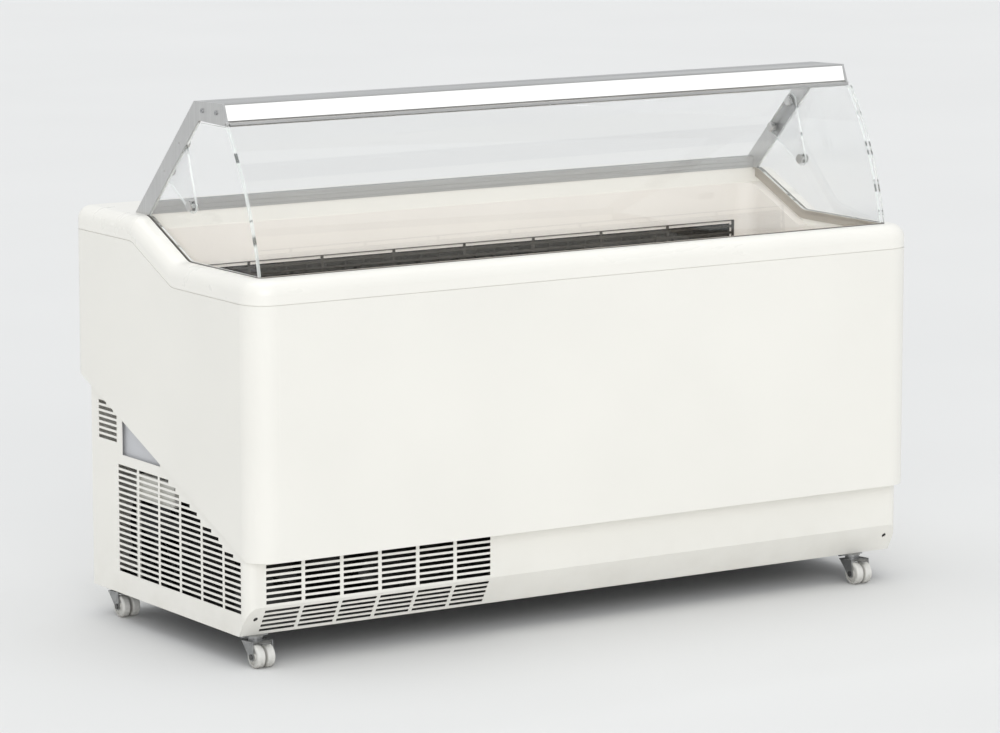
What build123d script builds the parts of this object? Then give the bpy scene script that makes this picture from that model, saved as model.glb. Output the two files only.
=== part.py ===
"""Scooping cabinet: an insulated well on casters under a glazed serving canopy.

Millimetres. X runs along the length, Y from the customer's side (-) to the server's side (+),
Z up. The origin is on the floor, under the middle of the cabinet's box.
"""
from build123d import *
import math
import os

os.makedirs("parts", exist_ok=True)

# ---------------------------------------------------------------- driving sizes
LENGTH = 1730.0                 # upper body, end to end
DEPTH = 800.0                   # upper body, front to back
CASTER_HEIGHT = 65.0            # floor to underside of the base
RIM_Z = 829.0                   # top of the trim at the customer's side
DECK_RISE = 80.0                # how far the server's deck stands above that
HALF_L = LENGTH / 2
HALF_D = DEPTH / 2
FRONT_Y = -HALF_D               # customer's face; places along Y count from here
BASE_Z = CASTER_HEIGHT
DECK_Z = RIM_Z + DECK_RISE
STEP_START_Y = FRONT_Y + 352.0  # where the trim starts to climb
STEP_END_Y = FRONT_Y + 531.0    # where it reaches the deck
STEP_BLEND_R = 45.0             # rounding of both kinks
FRONT_CORNER_R = 60.0
REAR_CORNER_R = 32.0
TRIM_DEPTH = 51.0               # visible height of the trim
TRIM_EDGE_R = 30.0
TRIM_WALL = 4.0
TRIM_LIP = 14.0                 # lip of the trim behind the sheet
SEAM_GAP = 1.5
SHEET = 1.5                     # painted sheet of body and base
FIT_GAP = 0.5                   # between neighbouring sheets
SKIRT_Z = BASE_Z + 166.3        # lower edge of the front sheet
UNDERCUT_START_Y = FRONT_Y + 41.5
UNDERCUT_SLOPE = 0.412
UNDERCUT_REAR_R = 28.0

TRIM_SIDE = 46.0                # width of the trim's top along both ends
TRIM_FRONT = 56.0               # and along the front
RIM_HALF = HALF_L - TRIM_SIDE   # opening in the trim
RIM_FRONT_Y = FRONT_Y + TRIM_FRONT
RIM_REAR_Y = STEP_END_Y + 21.0
TRIM_FACE = 34.0                # height of the trim's inner face
STRIP_T = 3.0                   # grey strip on that face
STRIP_FLANGE = 10.0
STRIP_DROP = 22.0
STRIP_SHIFT = 18.0

LEDGE_SIDE = 24.0               # ledge between the opening and the well
LEDGE_FRONT = 14.0
LEDGE_REAR = 2.0
WELL_HALF = RIM_HALF - LEDGE_SIDE
WELL_FRONT_Y = RIM_FRONT_Y + LEDGE_FRONT
WELL_REAR_Y = RIM_REAR_Y - LEDGE_REAR
WELL_FLOOR_Z = RIM_Z - 269.0
WELL_CORNER_R = 40.0
LINER_T = 2.0
GRILLE_TOP_Z = RIM_Z - 41.0     # air grille on the well's rear wall
GRILLE_SLAT_PITCH = 15.5
GRILLE_SLATS = 6
GRILLE_SLOT = 10.0
GRILLE_CELLS = 8
GRILLE_RIB = 6.0
GRILLE_T = 3.0
GRILLE_LAP = 10.0               # cover beyond its window
DUCT_DEPTH = 150.0              # evaporator space behind the grille
DUCT_BELOW = 60.0               # and how far it runs down below the window
COIL_DEPTH = 96.0
COIL_GAP = 22.0                 # from the liner to the coil
COIL_FINS = 29
COIL_TUBE_R = 5.0
PAN_LENGTH = 350.0              # clear width between the pan rails
PAN_RAIL_Z = RIM_Z - 94.0
PAN_RAIL_W = 22.0
PAN_RAIL_T = 3.0
PAN_RAIL_H = 25.0

BASE_HALF = HALF_L - 4.5
BASE_FRONT_Y = FRONT_Y + 42.6
BASE_REAR_Y = HALF_D - 65.0
BASE_CORNER_R = 25.0
FRONT_CUT_Y = BASE_FRONT_Y + BASE_CORNER_R
BEND_RISE = 65.0                # front sheet slants back below this
BEND_Z = BASE_Z + BEND_RISE
BEND_INSET = 38.0
SLANT = math.degrees(math.atan2(BEND_INSET, BEND_RISE))
TRAY_T = 2.0
TRAY_FLANGE = 22.0
TRAY_FRONT_FLANGE = 8.0

SLOT_H = 7.8
SLOT_PITCH = 12.86
SLOT_COLUMNS = 6
SIDE_SLOT_LEN = 87.0
SIDE_COLUMN_PITCH = 94.0
SIDE_SLOT_REAR_Y = BASE_FRONT_Y + 569.4
SIDE_SLOT_Z = BASE_Z + 53.8
SIDE_SLOT_ROWS = 19
SLOT_MARGIN = 18.0              # from the slots to the sloping edge
UPPER_SLOT_Y = (BASE_FRONT_Y + 574.4, BASE_FRONT_Y + 658.4)
UPPER_SLOT_MARGIN = 2.0
UPPER_SLOT_Z = BASE_Z + 340.0
UPPER_SLOT_ROWS = 7
FRONT_SLOT_LEN = 86.5
FRONT_COLUMN_PITCH = 94.9
FRONT_SLOT_X = -BASE_HALF + 45.3
FRONT_SLOT_Z = BEND_Z + 9.9
FRONT_SLOT_ROWS = 7
SLANT_SLOT_ROWS = 5
REAR_SLOT_Z = BASE_Z + 125.0
REAR_SLOT_ROWS = 16
RECESS_Y = (BASE_FRONT_Y + 377.4, BASE_FRONT_Y + 550.4)     # grey triangle on the left end
RECESS_Z = BASE_Z + 312.0
RECESS_DEPTH = 9.0
RECESS_LAP = 12.0
FIXING_HOLE_R = 5.5
FIXING_HOLE_INSET = 28.0
FIXING_HOLE_DOWN = 31.0         # from the bend, along the slant

END_GAP = 3.0                   # from the opening's end to the post
POST_OUT = RIM_HALF - END_GAP   # outer face of the end frames
POST_T = 6.0
POST_W = 43.0                   # flat bar, leaning forward at 45 degrees
POST_RUN = POST_W * math.sqrt(2)
POST_FOOT_Y = STEP_END_Y + 7.5
CANOPY_TOP_Z = DECK_Z + 271.0
CANOPY_HEIGHT = 44.0
CANOPY_UNDER_Z = CANOPY_TOP_Z - CANOPY_HEIGHT
CANOPY_FRONT_Y = FRONT_Y + 211.0
CANOPY_REAR_Y = CANOPY_FRONT_Y + 120.5
CANOPY_NOSE_Y = CANOPY_FRONT_Y - 16.0
CANOPY_REAR_LEAN = 20.0         # the rear face leans forward towards the underside
CANOPY_FALL = 4.0               # the roof falls this much to the rear
CANOPY_WALL = 2.5
ROOF_REAR_Z = CANOPY_TOP_Z - CANOPY_FALL
BOSS_R = 6.0                    # screw bosses inside the canopy
BOSS_DROP = 22.0
SCREW_HOLE_R = 2.6
SCREW_R = 2.4
DIFFUSER_T = 3.0
DIFFUSER_LIP = 9.0
LED_W = 6.0
LED_CHIPS = 48
GLASS_T = 5.0
PANE_T = 6.0
PANE_GAP = 1.5                  # between the front pane and the end panes
PANE_HALF = RIM_HALF + 0.5
PANE_TOP = (CANOPY_NOSE_Y - 10.0, CANOPY_UNDER_Z)     # outer face of the front pane, (Y, Z)
PANE_FOOT = (RIM_FRONT_Y - 2.0, RIM_Z + 1.0)
PANE_SAG = 17.0                 # bulge of the pane between those points
PIVOT = (CANOPY_NOSE_Y + 1.5, CANOPY_UNDER_Z + 1.5)   # hinge of the front pane
ROD_R = 3.5
PIVOT_PIN_R = 2.0
EAR_R = 5.0                     # round corner of the end plate about the hinge pin
RUNNING = 0.05                  # radial clearance of a running fit
KNOB_R = 11.0
KNOB_T = 12.0
KNOB_STUD_R = 3.0
KNOB_HOLE_R = 3.2
KNOB_A = 170.5                  # heights of the two knobs above the deck
KNOB_B = 104.0
DISC_AT = (STEP_START_Y + 4.0, DECK_Z + 39.0)
DISC_HOLE_R = 5.0
DISC_STUD_R = 4.6
GUSSET_R = 16.0
RAIL_H = 26.0
RAIL_D = 24.0
RAIL_GROOVE = 2.0

WHEEL_R = 25.0
WHEEL_W = 18.0
WHEEL_GAP = 6.0
WHEEL_EDGE_R = 4.0
TRAIL = 26.0                    # from the swivel to the axle
AXLE_R = 4.0
AXLE_HEAD_R = 6.0
FORK_T = 2.5
FORK_SIDE_GAP = 1.5
FORK_IN = WHEEL_W + WHEEL_GAP / 2 + FORK_SIDE_GAP
PLATE_T = 3.0
PLATE_Z = BASE_Z - PLATE_T
CROWN = (BASE_Z - 13.5, BASE_Z - 10.5)
CROWN_Y = (-24.0, 15.0)
RACE_R = 16.0
RACE_Z = BASE_Z - 7.0
RACE_GAP = 0.3
KINGPIN_R = 5.0
KINGPIN_HEAD_R = 8.5
LEVER_PIVOT = (-27.0, BASE_Z - 10.5)
LEVER_PIN_R = 1.5
LEVER_REACH = 24.0
LEVER_HALF = 10.0
CASTER_LEFT_X = -HALF_L + 43.0
CASTER_RIGHT_X = HALF_L - 108.0
CASTER_FRONT_Y = BASE_FRONT_Y + 36.4
CASTER_REAR_Y = BASE_REAR_Y - 57.0

FAN_Y = BASE_FRONT_Y + 442.4    # condenser and fan behind the left grille
FAN_Z = BASE_Z + 150.0
FAN_R = 108.0
FAN_BLADES = 5
FAN_SHAFT_R = 4.0
SHROUD_HALF = 124.0
TERMINAL_Y = (FAN_Y - 117.0, FAN_Y + 57.0)      # terminal box close behind the left grille
TERMINAL_Z = (BASE_Z + 227.0, BASE_Z + 281.0)
TERMINAL_T = 14.0
TERMINAL_POST = 15.0            # width of the upright that carries it
TERMINAL_GAP = 5.0              # from the left panel
SHROUD_X = -BASE_HALF + 22.0
SHROUD_T = 3.0
SHROUD_COLLAR = 29.0
MOTOR_X = -BASE_HALF + 56.0
MOTOR_R = 24.0
CONDENSER_X = -BASE_HALF + 92.0
CONDENSER_W = 62.0
CONDENSER_FINS = 22
CONDENSER_TUBE_R = 4.5
COMPRESSOR_AT = (-HALF_L + 435.0, FAN_Y - 45.0)
COMPRESSOR_R = 82.0
COMPRESSOR_H = 185.0
MOUNT_H = 14.0
MOUNT_NECK_R = 5.0
MOUNT_HOLE_R = 5.2
MOUNT_AT = (92.0, 62.0)
FOOT_T = 3.0
HOT_LINE_R = 3.0
COLD_LINE_R = 5.0

PANEL_AT = (-HALF_L + 255.0, RIM_Z - 169.0)   # middle of the control fascia on the rear, (X, Z)
PANEL_W = 230.0
PANEL_H = 84.0
PANEL_DEPTH = 48.0
DISH_DEPTH = 12.0
FASCIA_T = 3.0
ROCKER = (13.0, 22.0)
ROCKER_TILT = 7.0
ROCKER_PIN_R = 1.0
DIAL_R = 17.0
DIAL_SHAFT_R = 3.0
GLAND_AT = (-HALF_L + 105.0, BASE_Z + 55.0)   # cord entry in the rear base panel, (X, Z)
GLAND_R = 8.0
GLAND_BORE_R = 4.5


# ---------------------------------------------------------------- helpers
def box(x, y, z):
    """Box between the given (low, high) pairs."""
    middle = Pos((x[0] + x[1]) / 2, (y[0] + y[1]) / 2, (z[0] + z[1]) / 2)
    return middle * Box(x[1] - x[0], y[1] - y[0], z[1] - z[0])


def rod(start, axis, radius, length):
    """Cylinder that starts at a point and runs along an axis."""
    plane = Plane(origin=start, z_dir=axis)
    return extrude(plane * Circle(radius), amount=length)


def side_prism(points, x0, x1):
    """Prism along X of an outline given as (Y, Z) points."""
    face = make_face(Polyline(*points, close=True))
    return extrude(Plane.YZ.offset(x0) * face, amount=x1 - x0)


def mirrored(shape):
    """The same piece at the other end of the cabinet."""
    return mirror(shape, about=Plane.YZ)


def save(name, *solids):
    """Write one node, whatever number of solids it groups."""
    pieces = [s for shape in solids for s in shape.solids()]
    export_step(pieces[0] if len(pieces) == 1 else Compound(pieces), f"parts/{name}.step")


def undercut_z(y):
    """Height of the sloping underside at a depth."""
    return SKIRT_Z + max(0.0, y - UNDERCUT_START_Y) * UNDERCUT_SLOPE


def step_block(drop=0.0, shift=0.0):
    """Everything under the stepped rim line, lowered by drop and moved back by shift."""
    low, high = RIM_Z - drop, DECK_Z - drop
    start, end = STEP_START_Y + shift, STEP_END_Y + shift
    far = HALF_D + 50
    outline = Polyline((-far, 0), (-far, low), (start, low), (end, high), (far, high), (far, 0),
                       close=True)
    face = make_face(outline)
    kinks = [v for v in face.vertices() if abs(v.X - start) < 0.01 or abs(v.X - end) < 0.01]
    face = fillet(kinks, STEP_BLEND_R)
    return extrude(Plane.YZ * face, amount=HALF_L + 50, both=True)


def plan_block(inset, low, high):
    """Rounded plan of the upper body, drawn in by inset."""
    plan = Rectangle(LENGTH - 2 * inset, DEPTH - 2 * inset)
    plan = fillet([v for v in plan.vertices() if v.Y < 0], FRONT_CORNER_R - inset)
    plan = fillet([v for v in plan.vertices() if v.Y > HALF_D - inset - 1], REAR_CORNER_R - inset)
    return extrude(Pos(0, 0, low) * plan, amount=high - low)


def well_block(grow, low, high):
    """Rounded plan of the well, grown outwards by grow."""
    width = 2 * (WELL_HALF + grow)
    depth = WELL_REAR_Y - WELL_FRONT_Y + 2 * grow
    plan = RectangleRounded(width, depth, WELL_CORNER_R + grow)
    return extrude(Pos(0, (WELL_REAR_Y + WELL_FRONT_Y) / 2, low) * plan, amount=high - low)


def opening_block(grow, low, high):
    """Opening of the trim, grown outwards by grow."""
    half = RIM_HALF + grow
    return box((-half, half), (RIM_FRONT_Y - grow, RIM_REAR_Y + grow), (low, high))


def under_block(lift=0.0):
    """Everything under the upper body's sloping underside, raised by lift."""
    far = HALF_D + 50
    rear_z = undercut_z(far)
    points = [(-far, 0), (-far, SKIRT_Z), (UNDERCUT_START_Y, SKIRT_Z), (far, rear_z), (far, 0)]
    return Pos(0, 0, lift) * side_prism(points, -HALF_L - 50, HALF_L + 50)


# ---------------------------------------------------------------- upper body
def trim_skin(inset):
    """Outside of the trim with its rounded top edge, drawn in by inset."""
    blank = plan_block(inset, RIM_Z - 250, DECK_Z + 20) & step_block(inset)
    inner = plan_block(inset + 1, 0, DECK_Z + 50)
    lowest = RIM_Z - 40 - inset
    rim = [e for e in blank.edges() if (e @ 0.5).Z > lowest and not inner.is_inside(e @ 0.5)]
    rim = [e for e in rim if abs((e % 0.5).Z) < 0.9]
    return fillet(rim, TRIM_EDGE_R - inset)


def top_trim():
    """Moulded surround: outer skin, top and inner face, open underneath, with a lip behind the sheet."""
    skin = trim_skin(0)
    core = trim_skin(TRIM_WALL)
    band = skin - step_block(TRIM_DEPTH)
    lip_out = SHEET + FIT_GAP
    lip_layer = step_block(TRIM_DEPTH - 2) - step_block(TRIM_DEPTH + TRIM_LIP)
    lip = plan_block(lip_out, 400, DECK_Z) & lip_layer
    shell = band + lip
    hollow = core - opening_block(TRIM_WALL, 0, DECK_Z + 50)
    shell = shell - hollow - opening_block(0, 0, DECK_Z + 50)
    inner_wall = opening_block(TRIM_WALL + 1, 0, DECK_Z + 50)
    shell = shell - (inner_wall & step_block(TRIM_FACE))
    return shell


def casing_side(inset):
    """Side view of the casing: sloping underside, rounded where it meets the rear wall."""
    rear, far = HALF_D - inset, HALF_D + 50
    skirt = SKIRT_Z + inset
    corner_z = undercut_z(rear) + inset
    outline = Polyline((-far, skirt), (UNDERCUT_START_Y, skirt), (rear, corner_z), (rear, DECK_Z + 50),
                       (-far, DECK_Z + 50), close=True)
    face = make_face(outline)
    corner = [v for v in face.vertices() if abs(v.X - rear) < 0.01 and abs(v.Y - corner_z) < 0.01]
    face = fillet(corner, UNDERCUT_REAR_R - inset)
    return extrude(Plane.YZ * face, amount=HALF_L + 50, both=True)


def outer_shell():
    """Painted casing: four walls with rounded corners and the sloping underside."""
    full = plan_block(0, SKIRT_Z - 1, DECK_Z) & step_block(TRIM_DEPTH + SEAM_GAP) & casing_side(0)
    shell = full - (plan_block(SHEET, SKIRT_Z, DECK_Z + 50) & casing_side(SHEET))
    x, z = PANEL_AT
    window = box((x - PANEL_W / 2 - FIT_GAP, x + PANEL_W / 2 + FIT_GAP), (HALF_D - 20, HALF_D + 5),
                 (z - PANEL_H / 2 - FIT_GAP, z + PANEL_H / 2 + FIT_GAP))
    return shell - window


def duct_block(grow=0.0):
    """Evaporator space behind the well's rear wall."""
    low = GRILLE_TOP_Z - GRILLE_SLAT_PITCH * GRILLE_SLATS - DUCT_BELOW
    half = WELL_HALF - 55 + grow
    rear_y = WELL_REAR_Y + LINER_T + DUCT_DEPTH + grow
    return box((-half, half), (WELL_REAR_Y, rear_y), (low - grow, GRILLE_TOP_Z + grow))


def grille_window(grow=0.0):
    """Opening in the liner's rear wall, covered by the air grille."""
    half = WELL_HALF - WELL_CORNER_R - 12 + grow
    low = GRILLE_TOP_Z - GRILLE_SLAT_PITCH * GRILLE_SLATS
    y = (WELL_REAR_Y - 10, WELL_REAR_Y + LINER_T + 10)
    return box((-half, half), y, (low - grow, GRILLE_TOP_Z - 8 + grow))


def well_liner():
    """One moulded tub: walls, floor and a ledge that tucks under the trim's inner face."""
    high = DECK_Z + 50
    tub = well_block(LINER_T, WELL_FLOOR_Z - LINER_T, high) & step_block(TRIM_FACE + LINER_T)
    ledge = opening_block(TRIM_WALL, 0, high) & (step_block(TRIM_FACE) - step_block(TRIM_FACE + LINER_T))
    tub = tub + ledge
    tub = tub - well_block(0, WELL_FLOOR_Z, high)
    return tub - grille_window()


def insulation_foam():
    """Foam between casing and liner, with the evaporator space and the control pocket left out."""
    foam = plan_block(SHEET, SKIRT_Z, DECK_Z) & step_block(TRIM_DEPTH + TRIM_LIP) & casing_side(SHEET)
    foam = foam - well_block(LINER_T, WELL_FLOOR_Z - LINER_T, DECK_Z + 50)
    foam = foam - duct_block()
    x, z = PANEL_AT
    pocket = box((x - PANEL_W / 2 - 2, x + PANEL_W / 2 + 2), (HALF_D - PANEL_DEPTH - 6, HALF_D + 5),
                 (z - PANEL_H / 2 - 2, z + PANEL_H / 2 + 2))
    return foam - pocket


def rim_strip():
    """Grey angle strip on the front and end faces of the opening; glass stands on its flange."""
    high = DECK_Z + 50
    outer = opening_block(0, 0, high)
    face = outer - box((-RIM_HALF + STRIP_T, RIM_HALF - STRIP_T),
                       (RIM_FRONT_Y + STRIP_T, RIM_REAR_Y + 1), (0, high))
    face = face & (step_block(0) - step_block(STRIP_DROP, STRIP_SHIFT))
    flange = outer - box((-RIM_HALF + STRIP_FLANGE, RIM_HALF - STRIP_FLANGE),
                         (RIM_FRONT_Y + STRIP_FLANGE, RIM_REAR_Y + 1), (0, high))
    flange = flange & (step_block(0) - step_block(STRIP_T))
    return face + flange


def air_grille():
    """Louvred cover over the evaporator window: slats along the length between upright ribs."""
    half = WELL_HALF - WELL_CORNER_R - 2
    low = GRILLE_TOP_Z - GRILLE_SLAT_PITCH * GRILLE_SLATS - GRILLE_LAP
    plate = box((-half, half), (WELL_REAR_Y - GRILLE_T, WELL_REAR_Y), (low, GRILLE_TOP_Z))
    rib = GRILLE_RIB
    cell = (2 * half - rib) / GRILLE_CELLS
    for row in range(GRILLE_SLATS):
        top = GRILLE_TOP_Z - 1.5 - row * GRILLE_SLAT_PITCH
        for i in range(GRILLE_CELLS):
            left = -half + rib + i * cell
            hole_y = (WELL_REAR_Y - 10, WELL_REAR_Y + 1)
            plate = plate - box((left, left + cell - rib), hole_y, (top - GRILLE_SLOT, top))
    return plate


def pan_rails():
    """Two angle rails that carry the ice cream pans, clipped to the well's end walls."""
    front = WELL_FRONT_Y
    rails = []
    for y0, y1, lip_y in ((front, front + PAN_RAIL_W, front),
                          (front + PAN_RAIL_W + PAN_LENGTH, front + 2 * PAN_RAIL_W + PAN_LENGTH,
                           front + 2 * PAN_RAIL_W + PAN_LENGTH - PAN_RAIL_T)):
        half = WELL_HALF - 1 if y0 > front else WELL_HALF - WELL_CORNER_R
        top = box((-half, half), (y0, y1), (PAN_RAIL_Z - PAN_RAIL_T, PAN_RAIL_Z))
        web = box((-half, half), (lip_y, lip_y + PAN_RAIL_T), (PAN_RAIL_Z - PAN_RAIL_H, PAN_RAIL_Z))
        rails.append(top + web)
    return rails


def evaporator():
    """Finned coil: end plates, spaced fins and tubes running the length."""
    half = WELL_HALF - 95
    y0 = WELL_REAR_Y + LINER_T + COIL_GAP
    y1 = y0 + COIL_DEPTH
    z0 = GRILLE_TOP_Z - GRILLE_SLAT_PITCH * GRILLE_SLATS - 40
    z1 = GRILLE_TOP_Z - COIL_GAP
    step = 2 * half / (COIL_FINS - 1)
    coil = None
    for i in range(4):
        for j in range(3):
            y = y0 + 16 + i * (y1 - y0 - 32) / 3
            z = z0 + 18 + j * (z1 - z0 - 36) / 2
            tube = rod((-half - 8, y, z), (1, 0, 0), COIL_TUBE_R, 2 * half + 16)
            coil = tube if coil is None else coil + tube
    for i in range(COIL_FINS):
        x = -half + i * step
        coil = coil + box((x - 1.5, x + 1.5), (y0, y1), (z0, z1))
    foot = box((-half, half), (y0, y1), (z0 - 20, z0 + 2))
    return coil + foot


# ---------------------------------------------------------------- base
def base_block(inset):
    """Outside of the base with rounded front corners and the slanted foot, drawn in by inset."""
    half = BASE_HALF - inset
    front, rear = BASE_FRONT_Y + inset, BASE_REAR_Y
    plan = Pos(0, (front + rear) / 2) * Rectangle(2 * half, rear - front)
    plan = fillet([v for v in plan.vertices() if v.Y < 0], BASE_CORNER_R - inset)
    body = extrude(Pos(0, 0, BASE_Z - inset) * plan, amount=600)
    low_y = BASE_FRONT_Y + BEND_INSET + inset / math.cos(math.radians(SLANT))
    far_y = low_y - 400
    below = BASE_Z - BEND_RISE
    above = BASE_Z + 2 * BEND_RISE
    toe = [(low_y - BEND_INSET * 2, above), (low_y + BEND_INSET, below), (far_y, below), (far_y, above)]
    body = body - side_prism(toe, -HALF_L, HALF_L)
    return body & under_block(-FIT_GAP)


def base_sheet():
    """Bent sheet all round the base, before it is split into panels."""
    return base_block(0) - base_block(SHEET)


def front_slots():
    """Front grille: upright rows, then rows on the slanted foot."""
    cutters = []
    for column in range(SLOT_COLUMNS):
        x0 = FRONT_SLOT_X + column * FRONT_COLUMN_PITCH
        x1 = x0 + FRONT_SLOT_LEN
        for row in range(FRONT_SLOT_ROWS):
            z = FRONT_SLOT_Z + row * SLOT_PITCH
            cutters.append(box((x0, x1), (BASE_FRONT_Y - 10, BASE_FRONT_Y + 10),
                               (z - SLOT_H / 2, z + SLOT_H / 2)))
        for row in range(SLANT_SLOT_ROWS):
            down = 9 + row * SLOT_PITCH
            cutter = Pos((x0 + x1) / 2, 0, -down - SLOT_H / 2) * Box(x1 - x0, 20, SLOT_H)
            cutters.append(Pos(0, BASE_FRONT_Y, BEND_Z) * Rot(SLANT, 0, 0) * cutter)
    return cutters


def fixing_holes():
    """Two screw holes near the ends of the slanted foot."""
    holes = []
    for x in (-BASE_HALF + FIXING_HOLE_INSET, BASE_HALF - FIXING_HOLE_INSET):
        hole = Pos(x, 0, -FIXING_HOLE_DOWN) * Rot(90, 0, 0) * Cylinder(FIXING_HOLE_R, 20)
        holes.append(Pos(0, BASE_FRONT_Y, BEND_Z) * Rot(SLANT, 0, 0) * hole)
    return holes


def base_front_panel():
    """Front of the base with both rounded corners."""
    panel = base_sheet() & box((-HALF_L, HALF_L), (BASE_FRONT_Y - 5, FRONT_CUT_Y - FIT_GAP), (0, 700))
    inside = BASE_HALF - SHEET - FIT_GAP
    foot = box((-inside, inside), (BASE_FRONT_Y - 5, BASE_FRONT_Y + BEND_INSET + 3), (0, BEND_Z + 5))
    panel = panel + (base_sheet() & foot)
    return panel - front_slots() - fixing_holes()


def base_end_panel(sign):
    """Plain end of the base."""
    cut = base_sheet() & box((BASE_HALF - SHEET, BASE_HALF + 5),
                             (FRONT_CUT_Y, BASE_REAR_Y - SHEET), (0, 700))
    return cut if sign > 0 else mirrored(cut)


def side_slots(y_rear, length, z0, rows, margin, shortest):
    """One column of end slots, clipped along the sloping edge."""
    cutters = []
    for row in range(rows):
        z = z0 + row * SLOT_PITCH
        clip_y = UNDERCUT_START_Y + (z + SLOT_H / 2 + margin - SKIRT_Z) / UNDERCUT_SLOPE
        y_front = max(y_rear - length, clip_y)
        if y_rear - y_front >= shortest:
            cutters.append(box((-BASE_HALF - 5, -BASE_HALF + 5), (y_front, y_rear),
                               (z - SLOT_H / 2, z + SLOT_H / 2)))
    return cutters


def base_left_panel():
    """Left end of the base: intake grille, small upper grille and the triangular recess."""
    panel = base_end_panel(-1)
    cutters = []
    for column in range(SLOT_COLUMNS):
        y_rear = SIDE_SLOT_REAR_Y - column * SIDE_COLUMN_PITCH
        length = min(SIDE_SLOT_LEN, y_rear - FRONT_CUT_Y - 3)
        cutters += side_slots(y_rear, length, SIDE_SLOT_Z, SIDE_SLOT_ROWS, SLOT_MARGIN, 18)
    low, high = UPPER_SLOT_Y
    cutters += side_slots(high, high - low, UPPER_SLOT_Z, UPPER_SLOT_ROWS, UPPER_SLOT_MARGIN, 14)
    recess = box((-BASE_HALF - 5, -BASE_HALF + 5), RECESS_Y, (RECESS_Z, 700))
    return panel - cutters - recess


def recess_plate():
    """Grey plate closing the triangular recess from inside."""
    x = -BASE_HALF + RECESS_DEPTH
    y0, y1 = RECESS_Y[0] - 30, RECESS_Y[1] + 15
    top = under_block(-FIT_GAP)
    plate = box((x, x + SHEET), (y0, y1), (RECESS_Z - RECESS_LAP, 700)) & top
    sill = box((-BASE_HALF + SHEET, x + SHEET), (y0, y1),
               (RECESS_Z - RECESS_LAP, RECESS_Z - RECESS_LAP + SHEET))
    post = box((-BASE_HALF + SHEET, x + SHEET), (y1 - SHEET, y1), (RECESS_Z - RECESS_LAP, 700)) & top
    return plate + sill + post


def base_rear_panel():
    """Removable rear panel with exhaust slots and the cord entry."""
    half = BASE_HALF - SHEET - FIT_GAP
    panel = box((-half, half), (BASE_REAR_Y - SHEET, BASE_REAR_Y), (BASE_Z + TRAY_T + FIT_GAP, 700))
    panel = panel & under_block(-FIT_GAP)
    cutters = []
    for column in range(SLOT_COLUMNS):
        x0 = FRONT_SLOT_X + 110 + column * FRONT_COLUMN_PITCH
        for row in range(REAR_SLOT_ROWS):
            z = REAR_SLOT_Z + row * SLOT_PITCH
            cutters.append(box((x0, x0 + FRONT_SLOT_LEN), (BASE_REAR_Y - 5, BASE_REAR_Y + 5),
                               (z, z + SLOT_H)))
    x, z = GLAND_AT
    cutters.append(rod((x, BASE_REAR_Y - 10, z), (0, 1, 0), GLAND_R + 0.2, 20))
    return panel - cutters


def base_tray():
    """Floor of the base with a flange on all four sides."""
    half = BASE_HALF - SHEET - FIT_GAP
    front = BASE_FRONT_Y + BEND_INSET + 4
    rear = BASE_REAR_Y - SHEET - FIT_GAP
    outer = box((-half, half), (front, rear), (BASE_Z, BASE_Z + TRAY_FLANGE))
    inner = box((-half + TRAY_T, half - TRAY_T), (front + TRAY_T, rear - TRAY_T), (BASE_Z + TRAY_T, 500))
    toe = base_block(SHEET + FIT_GAP)
    low_front = box((-half, half), (front - 1, front + TRAY_T + 1), (BASE_Z + TRAY_FRONT_FLANGE, 500))
    return (outer - inner - low_front) & (toe + box((-half, half), (front, rear), (0, BASE_Z + TRAY_T)))


# ---------------------------------------------------------------- cooling machine
def compressor():
    """Hermetic compressor: domed can on a foot plate, with a terminal cover."""
    x, y = COMPRESSOR_AT
    z0 = BASE_Z + TRAY_T + MOUNT_H
    can = Pos(x, y, z0 + 2 * FOOT_T + COMPRESSOR_H / 2) * Cylinder(COMPRESSOR_R, COMPRESSOR_H)
    can = fillet(can.edges().filter_by(GeomType.CIRCLE), 34)
    plate = box((x - 105, x + 105), (y - 75, y + 75), (z0, z0 + FOOT_T))
    neck = box((x - 50, x + 50), (y - 50, y + 50), (z0, z0 + 20))
    cover = box((x + COMPRESSOR_R - 14, x + COMPRESSOR_R + 22), (y - 32, y + 32), (z0 + 70, z0 + 140))
    body = can + plate + neck + cover
    for dx in (-MOUNT_AT[0], MOUNT_AT[0]):
        for dy in (-MOUNT_AT[1], MOUNT_AT[1]):
            body = body - rod((x + dx, y + dy, z0 - 5), (0, 0, 1), MOUNT_HOLE_R, 20)
    return body


def compressor_mounts():
    """Rubber grommets under the foot plate, with a neck through each hole."""
    x, y = COMPRESSOR_AT
    z0 = BASE_Z + TRAY_T
    mounts = []
    for dx in (-MOUNT_AT[0], MOUNT_AT[0]):
        for dy in (-MOUNT_AT[1], MOUNT_AT[1]):
            pad = rod((x + dx, y + dy, z0), (0, 0, 1), 2 * MOUNT_NECK_R + 1, MOUNT_H)
            neck = rod((x + dx, y + dy, z0 + MOUNT_H), (0, 0, 1), MOUNT_NECK_R, FOOT_T + 1)
            mounts.append(pad + neck)
    return mounts


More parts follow.
